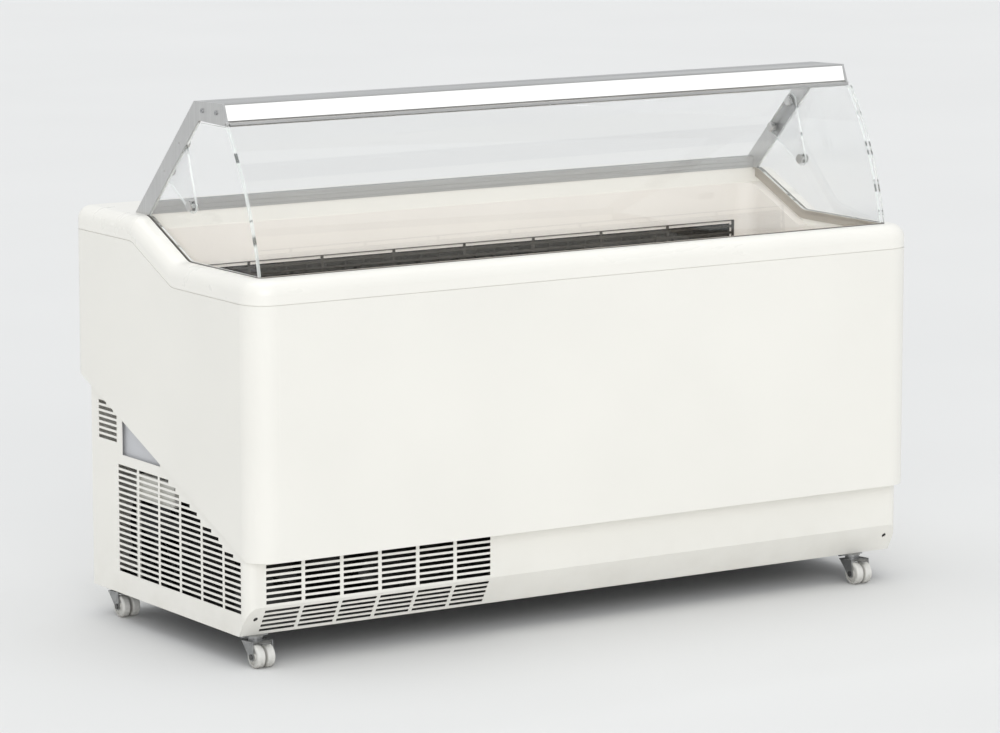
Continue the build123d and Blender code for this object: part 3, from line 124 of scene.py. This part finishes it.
def relief(tree, height, depth_mm, strength=1.0):
    """Bump from a height of 0..1 that stands depth_mm tall."""
    bump = add_node(tree, "ShaderNodeBump", {"Height": height, "Distance": depth_mm / 1000, "Strength": strength})
    return bump.outputs["Normal"]


def height_share(tree, low, high):
    """1 at the lower height, falling to 0 at the upper one, in metres above the floor."""
    place = add_node(tree, "ShaderNodeTexCoord").outputs["Object"]
    up = add_node(tree, "ShaderNodeSeparateXYZ", {"Vector": place}).outputs["Z"]
    return between(tree, up, 1.0, 0.0, low, high)


def product(tree, a, b):
    """Multiplies two values."""
    return add_node(tree, "ShaderNodeMath", {0: a, 1: b}, operation="MULTIPLY").outputs[0]


def darker(colour, share):
    """The same colour with less light."""
    return tuple(c * share for c in colour[:3]) + (1.0,)


def dress(material, *names):
    """Gives CAD nodes a material."""
    for name in names:
        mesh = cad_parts[name].data
        mesh.materials.clear()
        mesh.materials.append(material)


# ---------------------------------------------------------------- finishes
def powder_coated_steel(name, colour, dust):
    """Powder-coated sheet: satin, with the faint ripple of baked powder and a little dust near the floor."""
    material, tree, shader = new_finish(name)
    cloud = blotches(tree, 420, detail=2)
    base = blend_colour(tree, between(tree, cloud, 0.0, 1.0), colour, darker(colour, 0.965))
    specks = between(tree, blotches(tree, 60, detail=5), 0.0, dust, 0.42, 0.72)
    grime = product(tree, height_share(tree, *DUST_BAND), specks)
    base = blend_colour(tree, grime, base, linear("#B9B2A2"))
    # baked powder ripples at about 1 mm; 7 mm is the finest that shows
    ripple = blotches(tree, 7, detail=1)
    fill(tree, shader, {"Base Color": base, "Normal": relief(tree, ripple, 0.10, 0.5),
                        "Roughness": between(tree, blotches(tree, 140), 0.30, 0.40), "IOR": 1.5})
    return material


def moulded_abs(name, colour, smooth=0.26):
    """Vacuum-formed ABS: glossy skin that follows the mould, slightly wavy, with wiped-off haze."""
    material, tree, shader = new_finish(name)
    base = blend_colour(tree, between(tree, blotches(tree, 300, detail=2), 0.0, 1.0), colour, darker(colour, 0.97))
    haze = blotches(tree, 90, stretch=(0.25, 1.0, 1.0), detail=5)
    fill(tree, shader, {"Base Color": base, "Normal": relief(tree, blotches(tree, 70, detail=1), 0.35, 0.35),
                        "Roughness": between(tree, haze, smooth, smooth + 0.12, 0.35, 0.7), "IOR": 1.53,
                        "Coat Weight": 0.15, "Coat Roughness": 0.12})
    return material


def frosted_liner(name, colour):
    """Food-safe polystyrene tub: satin, fine leather grain, faint frost towards the floor of the well."""
    material, tree, shader = new_finish(name)
    base = blend_colour(tree, between(tree, blotches(tree, 260, detail=3), 0.0, 1.0), colour, darker(colour, 0.955))
    specks = between(tree, blotches(tree, 18, detail=6), 0.0, 0.6, 0.45, 0.7)
    frost = product(tree, height_share(tree, *FROST_BAND), specks)
    base = blend_colour(tree, frost, base, linear("#F4F6F7"))
    # mould grain is 0.4 mm; 5 mm is the finest that shows
    fill(tree, shader, {"Base Color": base, "Normal": relief(tree, blotches(tree, 5, detail=2), 0.12, 0.5),
                        "Roughness": between(tree, blotches(tree, 60), 0.34, 0.46), "IOR": 1.55})
    return material


def brushed_metal(name, colour, run, rough, turn=0.0, cut_mm=3.0):
    """Brushed and anodised metal: hair lines along run, 0, 1 or 2 for X, Y or Z; turn tips them about X."""
    material, tree, shader = new_finish(name)
    # hair lines are 0.1 mm apart; cut_mm is the finest that shows
    stretch = [1.0, 1.0, 1.0]
    stretch[run] = 0.012
    lines = blotches(tree, cut_mm, stretch=tuple(stretch), turn=(math.radians(turn), 0.0, 0.0), detail=4)
    base = blend_colour(tree, between(tree, lines, 0.0, 1.0), colour, darker(colour, 0.86))
    smear = between(tree, blotches(tree, 80, detail=4), rough, rough + 0.10)
    fill(tree, shader, {"Base Color": base, "Normal": relief(tree, lines, 0.05, 0.35), "Roughness": smear,
                        "Metallic": 1.0, "Anisotropic": 0.4})
    return material


def zinc_plate(name, colour, spangle_mm=14.0, metallic=0.9, rough=0.36):
    """Galvanised steel: flat crystals of slightly different grey, dulled between them."""
    material, tree, shader = new_finish(name)
    place = add_node(tree, "ShaderNodeTexCoord").outputs["Object"]
    cells = add_node(tree, "ShaderNodeTexVoronoi", {"Vector": place, "Scale": 1000 / spangle_mm})
    tone = add_node(tree, "ShaderNodeSeparateColor", {"Color": cells.outputs["Color"]}).outputs[0]
    base = blend_colour(tree, between(tree, tone, 0.0, 1.0, 0.0, 1.0), colour, darker(colour, 0.82))
    fill(tree, shader, {"Base Color": base, "Metallic": metallic,
                        "Roughness": between(tree, tone, rough, rough + 0.14, 0.0, 1.0),
                        "Normal": relief(tree, blotches(tree, 9, detail=3), 0.06, 0.4)})
    return material


def sheet_glass(name, tint, clear, across_x):
    """Toughened float glass: clear faces with wiped-off finger marks, and polished edges that catch the light.

    An edge is a face whose normal leaves the sheet's own: across X for the end panes, along X for the front
    pane. Edges are nearly opaque, with a painted white highlight and dark dashes that paint the refracted view.
    """
    material, tree, shader = new_finish(name)
    normal = add_node(tree, "ShaderNodeTexCoord").outputs["Normal"]
    sideways = add_node(tree, "ShaderNodeSeparateXYZ", {"Vector": normal}).outputs["X"]
    sideways = add_node(tree, "ShaderNodeMath", {0: sideways}, operation="ABSOLUTE").outputs[0]
    low, high = (1.0, 0.0) if across_x else (0.0, 1.0)
    edge = between(tree, sideways, low, high, 0.4, 0.6)
    marks = blotches(tree, 55, stretch=(1.0, 1.0, 0.5), detail=6)
    # painted highlight and painted refraction: the edges are white, broken by dark dashes that stand in for the view
    # bent through them
    painted_refraction_dashes = between(tree, blotches(tree, 34, stretch=(0.01, 0.01, 1.0), detail=3), 0.0, 1.0, 0.56, 0.60)
    painted_glint_colour = blend_colour(tree, painted_refraction_dashes, linear("#F6FAF8"), linear("#3C4442"))
    fill(tree, shader, {"Base Color": blend_colour(tree, edge, tint, painted_glint_colour),
                        "Roughness": between(tree, marks, 0.0, 0.03, 0.5, 0.8),
                        "Alpha": between(tree, edge, clear, 0.8, 0.0, 1.0),
                        "Transmission Weight": between(tree, edge, 1.0, 0.25, 0.0, 1.0), "IOR": 1.5})
    return material


def grained_plastic(name, colour, rough=0.5, grain_mm=4.0, depth_mm=0.12):
    """Spark-eroded plastic: matt with a fine pebble grain and slight wear to a shine."""
    material, tree, shader = new_finish(name)
    grain = blotches(tree, grain_mm, detail=2)
    worn = blotches(tree, 45, detail=4)
    base = blend_colour(tree, between(tree, worn, 0.0, 1.0), colour, darker(colour, 0.9))
    fill(tree, shader, {"Base Color": base, "Normal": relief(tree, grain, depth_mm, 0.5),
                        "Roughness": between(tree, worn, rough - 0.06, rough + 0.08), "IOR": 1.5})
    return material


def wheel_rubber(name, colour):
    """Non-marking thermoplastic rubber: matt and soft, darker towards the floor on its tread."""
    material, tree, shader = new_finish(name)
    specks = between(tree, blotches(tree, 8, detail=5), 0.15, 0.8)
    # darker in specks towards the bottom of the tyre, within TREAD_BAND of the floor
    low_darkening = product(tree, height_share(tree, *TREAD_BAND), specks)
    fill(tree, shader, {"Base Color": blend_colour(tree, low_darkening, colour, linear("#77736B")),
                        "Normal": relief(tree, blotches(tree, 3, detail=3), 0.10, 0.5),
                        "Roughness": between(tree, blotches(tree, 12), 0.55, 0.72), "IOR": 1.52})
    return material


def foam_block(name, colour):
    """Rigid foam: open cells cut at random, dry and matt."""
    material, tree, shader = new_finish(name)
    place = add_node(tree, "ShaderNodeTexCoord").outputs["Object"]
    cells = add_node(tree, "ShaderNodeTexVoronoi", {"Vector": place, "Scale": 260.0}).outputs["Distance"]
    base = blend_colour(tree, between(tree, cells, 0.0, 1.0, 0.1, 0.7), colour, darker(colour, 0.7))
    fill(tree, shader, {"Base Color": base, "Normal": relief(tree, cells, 0.6, 0.6), "Roughness": 0.9})
    return material


def enamelled_can(name, colour, rough):
    """Thick brushed-on enamel over drawn steel: uneven gloss with settled dust."""
    material, tree, shader = new_finish(name)
    dust = between(tree, blotches(tree, 40, detail=6), 0.0, 0.35, 0.5, 0.75)
    fill(tree, shader, {"Base Color": blend_colour(tree, dust, colour, linear("#6E6A62")),
                        "Normal": relief(tree, blotches(tree, 16, detail=2), 0.25, 0.4),
                        "Roughness": between(tree, blotches(tree, 30), rough, rough + 0.2), "IOR": 1.5})
    return material


def drawn_copper(name, colour):
    """Drawn copper tube: bright along its length with brown tarnish spots."""
    material, tree, shader = new_finish(name)
    spots = between(tree, blotches(tree, 22, detail=5), 0.0, 0.8, 0.45, 0.7)
    fill(tree, shader, {"Base Color": blend_colour(tree, spots, colour, linear("#7A4A30")), "Metallic": 1.0,
                        "Normal": relief(tree, blotches(tree, 6), 0.04, 0.3),
                        "Roughness": between(tree, spots, 0.25, 0.5, 0.0, 0.8)})
    return material


def opal_acrylic(name, colour, glow):
    """Opal acrylic lamp cover: milky, evenly lit from behind by a faint lamp."""
    material, tree, shader = new_finish(name)
    milk = blend_colour(tree, between(tree, blotches(tree, 500, stretch=(1.0, 0.2, 0.2)), 0.0, 1.0), colour,
                        darker(colour, 0.97))
    fill(tree, shader, {"Base Color": milk, "Emission Color": milk, "Emission Strength": glow,
                        "Normal": relief(tree, blotches(tree, 30, detail=1), 0.08, 0.3),
                        "Roughness": between(tree, blotches(tree, 70), 0.28, 0.38), "IOR": 1.49})
    return material


# ---------------------------------------------------------------- new pieces
def rim_height(y, low, high, start, end, blend):
    """Height of the trim's top at depth y.

    Flat at low, a straight climb from start to end, flat at high; each kink is an arc of radius blend
    that is tangent to both, reaching t = blend * tan(half the climb's angle) to either side of it.
    """
    climb = math.atan2(high - low, end - start)
    reach = blend * math.tan(climb / 2)
    z = low + np.clip((y - start) / (end - start), 0.0, 1.0) * (high - low)
    from_start = np.clip(y - (start - reach), 0.0, reach * (1 + math.cos(climb)))
    foot = low + blend - np.sqrt(blend ** 2 - from_start ** 2)
    z = np.where(y < start + reach * math.cos(climb), foot, z)
    to_end = np.clip((end + reach) - y, 0.0, reach * (1 + math.cos(climb)))
    head = high - blend + np.sqrt(blend ** 2 - to_end ** 2)
    return np.where(y > end - reach * math.cos(climb), head, z)


def mesh_piece(name, points, faces, material, body):
    """Makes an object from point and face arrays, shades it smooth and lets it ride on a body."""
    mesh = bpy.data.meshes.new(name)
    mesh.from_pydata(points.tolist(), [], [list(map(int, f)) for f in faces])
    mesh.update()
    mesh.materials.append(material)
    mesh.polygons.foreach_set("use_smooth", np.ones(len(mesh.polygons), dtype=bool))
    piece = bpy.data.objects.new(name, mesh)
    bpy.context.scene.collection.objects.link(piece)
    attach(piece, body)
    return piece


def swept_faces(along, around):
    """Quads of a tube with along rings of around points each, and one face over each end."""
    i, j = np.meshgrid(np.arange(along - 1), np.arange(around), indexing="ij")
    k = (j + 1) % around
    quads = np.stack([i * around + j, (i + 1) * around + j, (i + 1) * around + k, i * around + k], -1).reshape(-1, 4)
    ends = [np.arange(around), ((along - 1) * around + np.arange(around))[::-1]]
    return list(quads) + ends


def gasket_points(width, height):
    """Flat glazing gasket: a low rounded section carried round three sides of the opening.

    The path runs forward along one end, round a quarter circle, along the front and back along the other
    end. Its height is rim_height of its depth. The section is x = width / 2 * cos a with
    z = height * |sin a| ^ 0.5 on top and 0 underneath.
    """
    low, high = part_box("rim_strip")
    half = high[0] + 0.0005
    front = low[1] - 0.0055
    rim, deck = low_rim(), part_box("rear_rail")[0][2]
    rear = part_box("rear_rail")[0][1] - 0.012
    corner = 0.012
    depth = np.linspace(rear, front + corner, 90)[:-1]
    turn = np.linspace(0.0, math.pi / 2, 9)
    arc_x = half - corner + corner * np.cos(turn)
    arc_y = front + corner - corner * np.sin(turn)
    x = np.concatenate([np.full_like(depth, half), arc_x])
    y = np.concatenate([depth, arc_y])
    x = np.concatenate([x, -x[::-1]])
    y = np.concatenate([y, y[::-1]])
    z = rim_height(y, rim, deck, STEP_START, STEP_END, STEP_BLEND)
    path = np.stack([x, y, z], -1)
    ahead = np.gradient(path, axis=0)
    ahead /= np.linalg.norm(ahead, axis=1, keepdims=True)
    side = np.cross(ahead, np.array([0.0, 0.0, 1.0]))
    side /= np.linalg.norm(side, axis=1, keepdims=True)
    up = np.cross(side, ahead)
    a = np.linspace(0, 2 * math.pi, 12, endpoint=False)
    across = width / 2 * np.cos(a)
    rise = np.where(np.sin(a) > 0, height * np.sqrt(np.abs(np.sin(a))), 0.0)
    points = path[:, None, :] + across[None, :, None] * side[:, None, :] + rise[None, :, None] * up[:, None, :]
    return points.reshape(-1, 3), swept_faces(len(path), len(a))


def low_rim():
    """Height of the trim's top at the front: the grey strip's flange is level with it."""
    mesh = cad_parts["rim_strip"].data
    co = np.empty(len(mesh.vertices) * 3)
    mesh.vertices.foreach_get("co", co)
    co = co.reshape(-1, 3)
    return float(co[co[:, 1] < co[:, 1].min() + 0.001, 2].max())


# ---------------------------------------------------------------- what a user may change
class CabinetColours(bpy.types.PropertyGroup):
    """Colours of the cabinet's finishes."""
    casing: bpy.props.FloatVectorProperty(name="Casing", description="Powder coat of body and base", subtype="COLOR",
                                          size=4, min=0, max=1, default=linear("#F1EFE8"))
    trim: bpy.props.FloatVectorProperty(name="Trim", description="Moulded surround", subtype="COLOR",
                                        size=4, min=0, max=1, default=linear("#F3F1EA"))
    liner: bpy.props.FloatVectorProperty(name="Liner", description="Inside of the well", subtype="COLOR",
                                         size=4, min=0, max=1, default=linear("#F2EDE6"))
    metal: bpy.props.FloatVectorProperty(name="Metal", description="Anodised canopy, posts and rail", subtype="COLOR",
                                         size=4, min=0, max=1, default=linear("#C8C8C7"))
    wheels: bpy.props.FloatVectorProperty(name="Wheels", description="Caster tyres", subtype="COLOR",
                                          size=4, min=0, max=1, default=linear("#DBDAD5"))
    gasket: bpy.props.FloatVectorProperty(name="Gasket", description="Glazing gasket", subtype="COLOR",
                                          size=4, min=0, max=1, default=linear("#4A4844"))


class CabinetSizes(bpy.types.PropertyGroup):
    """Sizes of the added pieces and of the studio."""
    gasket_width: bpy.props.FloatProperty(name="Gasket width", description="Across the trim", default=0.005,
                                          min=0.002, max=0.006, unit="LENGTH", precision=4)
    gasket_height: bpy.props.FloatProperty(name="Gasket height", description="Above the trim", default=0.0011,
                                           min=0.0005, max=0.0013, unit="LENGTH", precision=4)
    lamp_glow: bpy.props.FloatProperty(name="Lamp glow", description="Light given by the lamp cover", default=0.1,
                                       min=0.0, max=5.0)
    floor_size: bpy.props.FloatProperty(name="Floor size", description="Side of the studio floor", default=120.0,
                                        min=5.0, unit="LENGTH")
    top_light: bpy.props.FloatProperty(name="Top light", description="Strength of the light from above", default=0.72,
                                       min=0.0)
    front_light: bpy.props.FloatProperty(name="Front light", description="Strength of the light from the front",
                                         default=0.99, min=0.0)
    lamp_power: bpy.props.FloatProperty(name="Lamp power", description="Light that the canopy throws into the well",
                                        default=1.5, min=0.0)


# ---------------------------------------------------------------- operators
class CABINET_OT_casing(bpy.types.Operator):
    """Powder-coat the body and the base"""
    bl_idname = "cabinet.casing"
    bl_label = "Casing"

    def execute(self, context):
        colour = tuple(context.scene.cabinet_colours.casing)
        dress(powder_coated_steel("powder_coated_body", colour, 0.0), "outer_shell")
        dress(powder_coated_steel("powder_coated_base", colour, 0.12),
              "base_front_panel", "base_left_panel", "base_right_panel", "base_rear_panel")
        dress(powder_coated_steel("powder_coated_recess", linear("#C8C9CC"), 0.1), "recess_plate")
        # painted shade: the tray is black so that the inside of the base shows as dark as its shade through the slots
        dress(enamelled_can("black_tray_painted_shade", linear("#232323"), 0.4), "base_tray")
        return {"FINISHED"}


class CABINET_OT_trim(bpy.types.Operator):
    """Finish the moulded surround and the grey strip"""
    bl_idname = "cabinet.trim"
    bl_label = "Trim"

    def execute(self, context):
        dress(moulded_abs("moulded_abs_trim", tuple(context.scene.cabinet_colours.trim)), "top_trim")
        dress(grained_plastic("extruded_grey_strip", linear("#ABA295"), 0.5), "rim_strip")
        return {"FINISHED"}


class CABINET_OT_well(bpy.types.Operator):
    """Finish the well: liner, air grille, pan rails, and what is behind them"""
    bl_idname = "cabinet.well"
    bl_label = "Well"

    def execute(self, context):
        dress(frosted_liner("formed_polystyrene_liner", tuple(context.scene.cabinet_colours.liner)), "well_liner")
        dress(grained_plastic("moulded_dark_grille", linear("#26221C"), 0.45), "air_grille")
        dress(brushed_metal("brushed_stainless_rails", linear("#B9BABB"), 0, 0.28), "pan_rails")
        # painted shade: the fins are black so that what shows behind the grille reads as dark shade
        dress(enamelled_can("black_fins_painted_shade", linear("#101010"), 0.5), "evaporator")
        dress(foam_block("rigid_foam", linear("#1B1A18")), "insulation_foam")
        return {"FINISHED"}


class CABINET_OT_metalwork(bpy.types.Operator):
    """Anodise the canopy, posts and rail"""
    bl_idname = "cabinet.metalwork"
    bl_label = "Metalwork"

    def execute(self, context):
        metal = tuple(context.scene.cabinet_colours.metal)
        dress(brushed_metal("anodised_aluminium_profile", metal, 0, 0.34), "canopy_profile", "rear_rail",
              "front_glass_hinge")
        dress(brushed_metal("anodised_aluminium_post", linear("#D2D2D1"), 2, 0.34, turn=45.0),
              "left_post", "right_post")
        dress(brushed_metal("turned_chrome_knobs", linear("#C9C8C6"), 0, 0.12, cut_mm=2.0), "glass_fixings")
        dress(zinc_plate("zinc_screws", linear("#B4B5B6"), 4.0), "cover_screws")
        return {"FINISHED"}


class CABINET_OT_glazing(bpy.types.Operator):
    """Glaze the canopy: curved front pane, end panes and clear gussets"""
    bl_idname = "cabinet.glazing"
    bl_label = "Glazing"

    def execute(self, context):
        tint = linear("#F0F6F3")
        dress(sheet_glass("toughened_front_glass", tint, 0.10, False), "front_glass")
        dress(sheet_glass("toughened_end_glass", tint, 0.12, True), "left_end_glass", "right_end_glass")
        dress(sheet_glass("cast_acrylic_gusset", linear("#DDE1E3"), 0.22, True), "glass_gussets")
        return {"FINISHED"}


class CABINET_OT_gasket(bpy.types.Operator):
    """Lay the glazing gasket round three sides of the opening"""
    bl_idname = "cabinet.gasket"
    bl_label = "Gasket"

    def execute(self, context):
        sizes = context.scene.cabinet_sizes
        colour = tuple(context.scene.cabinet_colours.gasket)
        finish = grained_plastic("extruded_rubber_gasket", colour, 0.6, 3.0, 0.05)
        points, faces = gasket_points(sizes.gasket_width, sizes.gasket_height)
        piece = mesh_piece("glazing_gasket", points, faces, finish, "cabinet")
        return {"FINISHED"}


class CABINET_OT_lamp(bpy.types.Operator):
    """Finish the lamp cover and the light strip behind it"""
    bl_idname = "cabinet.lamp"
    bl_label = "Lamp"

    def execute(self, context):
        glow = context.scene.cabinet_sizes.lamp_glow
        dress(opal_acrylic("opal_acrylic_cover", linear("#FBFBF8"), glow), "lamp_diffuser")
        dress(grained_plastic("solder_masked_strip", linear("#F2EED8"), 0.4), "led_strip")
        return {"FINISHED"}


class CABINET_OT_machine(bpy.types.Operator):
    """Finish the cooling machine in the base"""
    bl_idname = "cabinet.machine"
    bl_label = "Machine"

    def execute(self, context):
        dress(enamelled_can("black_enamel_can", linear("#151515"), 0.22), "compressor", "fan_motor")
        dress(moulded_abs("moulded_terminal_box", linear("#CFCEC8")), "terminal_box")
        dress(wheel_rubber("mount_rubber", linear("#1C1C1C")), "compressor_mounts")
        # painted shade: condenser and shroud are black so that the inside of the base shows dark through the slots
        dress(enamelled_can("black_condenser_painted_shade", linear("#141414"), 0.45), "condenser")
        dress(grained_plastic("black_shroud_painted_shade", linear("#161616"), 0.5), "fan_shroud")
        dress(grained_plastic("moulded_nylon_blade", linear("#2A2B2C"), 0.42), "fan_blade")
        dress(drawn_copper("drawn_copper_lines", linear("#C87B55")), "refrigerant_lines")
        return {"FINISHED"}


class CABINET_OT_controls(bpy.types.Operator):
    """Finish the controls and the cord gland at the rear"""
    bl_idname = "cabinet.controls"
    bl_label = "Controls"

    def execute(self, context):
        dress(grained_plastic("moulded_grey_fascia", linear("#8B8D8F"), 0.5), "control_fascia")
        dress(grained_plastic("moulded_black_dial", linear("#1E1E1F"), 0.38, 2.5), "thermostat_knob", "thermostat")
        dress(moulded_abs("moulded_green_key", linear("#2F7D4A"), 0.25), "power_switch")
        dress(moulded_abs("moulded_amber_key", linear("#C98A2B"), 0.25), "light_switch")
        dress(grained_plastic("moulded_nylon_gland", linear("#232425"), 0.45, 2.5), "cord_gland")
        return {"FINISHED"}


class CABINET_OT_casters(bpy.types.Operator):
    """Finish the casters: plated forks and axles, rubber tyres, nylon brake levers"""
    bl_idname = "cabinet.casters"
    bl_label = "Casters"

    def execute(self, context):
        dress(zinc_plate("zinc_plated_forks", linear("#A4A5A5"), 7.0, 0.85, 0.34),
              "caster_plates", *[f"caster_fork_{c}" for c in CORNERS])
        dress(zinc_plate("zinc_plated_axles", linear("#6C6C6B"), 4.0), *[f"caster_axle_{c}" for c in CORNERS])
        dress(wheel_rubber("grey_caster_rubber", tuple(context.scene.cabinet_colours.wheels)),
              *[f"caster_wheel_{c}_{s}" for c in CORNERS for s in "ab"])
        dress(grained_plastic("moulded_nylon_lever", linear("#6E6E6C"), 0.45),
              "brake_lever_front_left", "brake_lever_front_right")
        return {"FINISHED"}


def soft_sun(name, aim, spread, strength):
    """Distant soft light that shines along aim; spread is how many degrees of sky it fills."""
    lamp = bpy.data.lights.new(name, "SUN")
    lamp.angle, lamp.energy = math.radians(spread), strength
    holder = bpy.data.objects.new(name, lamp)
    holder.rotation_euler = Vector(aim).to_track_quat("-Z", "Y").to_euler()
    bpy.context.scene.collection.objects.link(holder)


def canopy_lamp(power):
    """Soft strip of light that the lamp under the canopy throws down into the well; power is in watts."""
    low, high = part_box("lamp_diffuser")
    lamp = bpy.data.lights.new("canopy_lamp", "AREA")
    lamp.shape, lamp.size, lamp.size_y, lamp.energy = "RECTANGLE", high[0] - low[0], LAMP_WIDTH, power
    holder = bpy.data.objects.new("canopy_lamp", lamp)
    holder.location = (0.0, high[1] + LAMP_WIDTH, low[2] - LAMP_WIDTH / 4)
    holder.visible_camera = False
    holder.visible_glossy = False
    holder.visible_transmission = False
    bpy.context.scene.collection.objects.link(holder)


class CABINET_OT_stage(bpy.types.Operator):
    """Set up the pale floor, the soft lights, the sky and the camera"""
    bl_idname = "cabinet.stage"
    bl_label = "Stage"

    def execute(self, context):
        sizes = context.scene.cabinet_sizes
        half = sizes.floor_size / 2
        mesh = bpy.data.meshes.new("studio_floor")
        mesh.from_pydata([(-half, -half, 0), (half, -half, 0), (half, half, 0), (-half, half, 0)], [], [(0, 1, 2, 3)])
        material, tree, shader = new_finish("painted_studio_floor")
        tone = between(tree, blotches(tree, 1500, detail=2), 0.0, 1.0)
        fill(tree, shader, {"Base Color": blend_colour(tree, tone, linear("#E6E6E5"), linear("#E4E4E3")),
                            "Roughness": 0.9})
        shader.inputs["Specular IOR Level"].default_value = 0.1
        mesh.materials.append(material)
        floor = bpy.data.objects.new("studio_floor", mesh)
        context.scene.collection.objects.link(floor)

        world = bpy.data.worlds.new("studio_sky")
        world.use_nodes = True
        fill(world.node_tree, world.node_tree.nodes["Background"], {"Color": linear("#F4F6F8"), "Strength": 0.8})
        context.scene.world = world
        soft_sun("top_light", (0.0, -0.1, -1.0), 60.0, sizes.top_light)
        soft_sun("front_light", (0.43, 0.84, -0.3), 44.0, sizes.front_light)
        canopy_lamp(sizes.lamp_power)
        context.scene.view_settings.view_transform = "Standard"

        lens = bpy.data.cameras.new("studio_camera")
        lens.sensor_width = SENSOR_MM
        lens.lens = LENS_MM
        camera = bpy.data.objects.new("studio_camera", lens)
        camera.location = CAMERA_PLACE
        level = math.cos(CAMERA_DIP)
        forward = Vector((math.sin(CAMERA_BEARING) * level, math.cos(CAMERA_BEARING) * level, -math.sin(CAMERA_DIP)))
        camera.rotation_euler = forward.to_track_quat("-Z", "Y").to_euler()
        lens.clip_end = VIEW_REACH
        context.scene.collection.objects.link(camera)
        context.scene.camera = camera
        return {"FINISHED"}


OPERATORS = (CABINET_OT_casing, CABINET_OT_trim, CABINET_OT_well, CABINET_OT_metalwork, CABINET_OT_glazing,
             CABINET_OT_gasket, CABINET_OT_lamp, CABINET_OT_machine, CABINET_OT_controls, CABINET_OT_casters,
             CABINET_OT_stage)


class CABINET_PT_sidebar(bpy.types.Panel):
    """Lists the cabinet's colours, sizes and steps"""
    bl_idname = "CABINET_PT_sidebar"
    bl_label = "Scooping cabinet"
    bl_space_type = "VIEW_3D"
    bl_region_type = "UI"
    bl_category = "Cabinet"

    def draw(self, context):
        for group in (context.scene.cabinet_colours, context.scene.cabinet_sizes):
            box = self.layout.box()
            for key in group.__annotations__:
                box.prop(group, key)
        for operator in OPERATORS:
            self.layout.operator(operator.bl_idname)


CLASSES = (CabinetColours, CabinetSizes) + OPERATORS + (CABINET_PT_sidebar,)


def register():
    """Registers the classes and hangs the settings on the scene."""
    for kind in CLASSES:
        bpy.utils.register_class(kind)
    bpy.types.Scene.cabinet_colours = bpy.props.PointerProperty(type=CabinetColours)
    bpy.types.Scene.cabinet_sizes = bpy.props.PointerProperty(type=CabinetSizes)


def unregister():
    """Takes the settings and the classes away again."""
    del bpy.types.Scene.cabinet_sizes
    del bpy.types.Scene.cabinet_colours
    for kind in reversed(CLASSES):
        bpy.utils.unregister_class(kind)


def main():
    """Runs every step in order."""
    register()
    for operator in OPERATORS:
        group, step = operator.bl_idname.split(".")
        getattr(getattr(bpy.ops, group), step)()


if __name__ == "__main__":
    main()
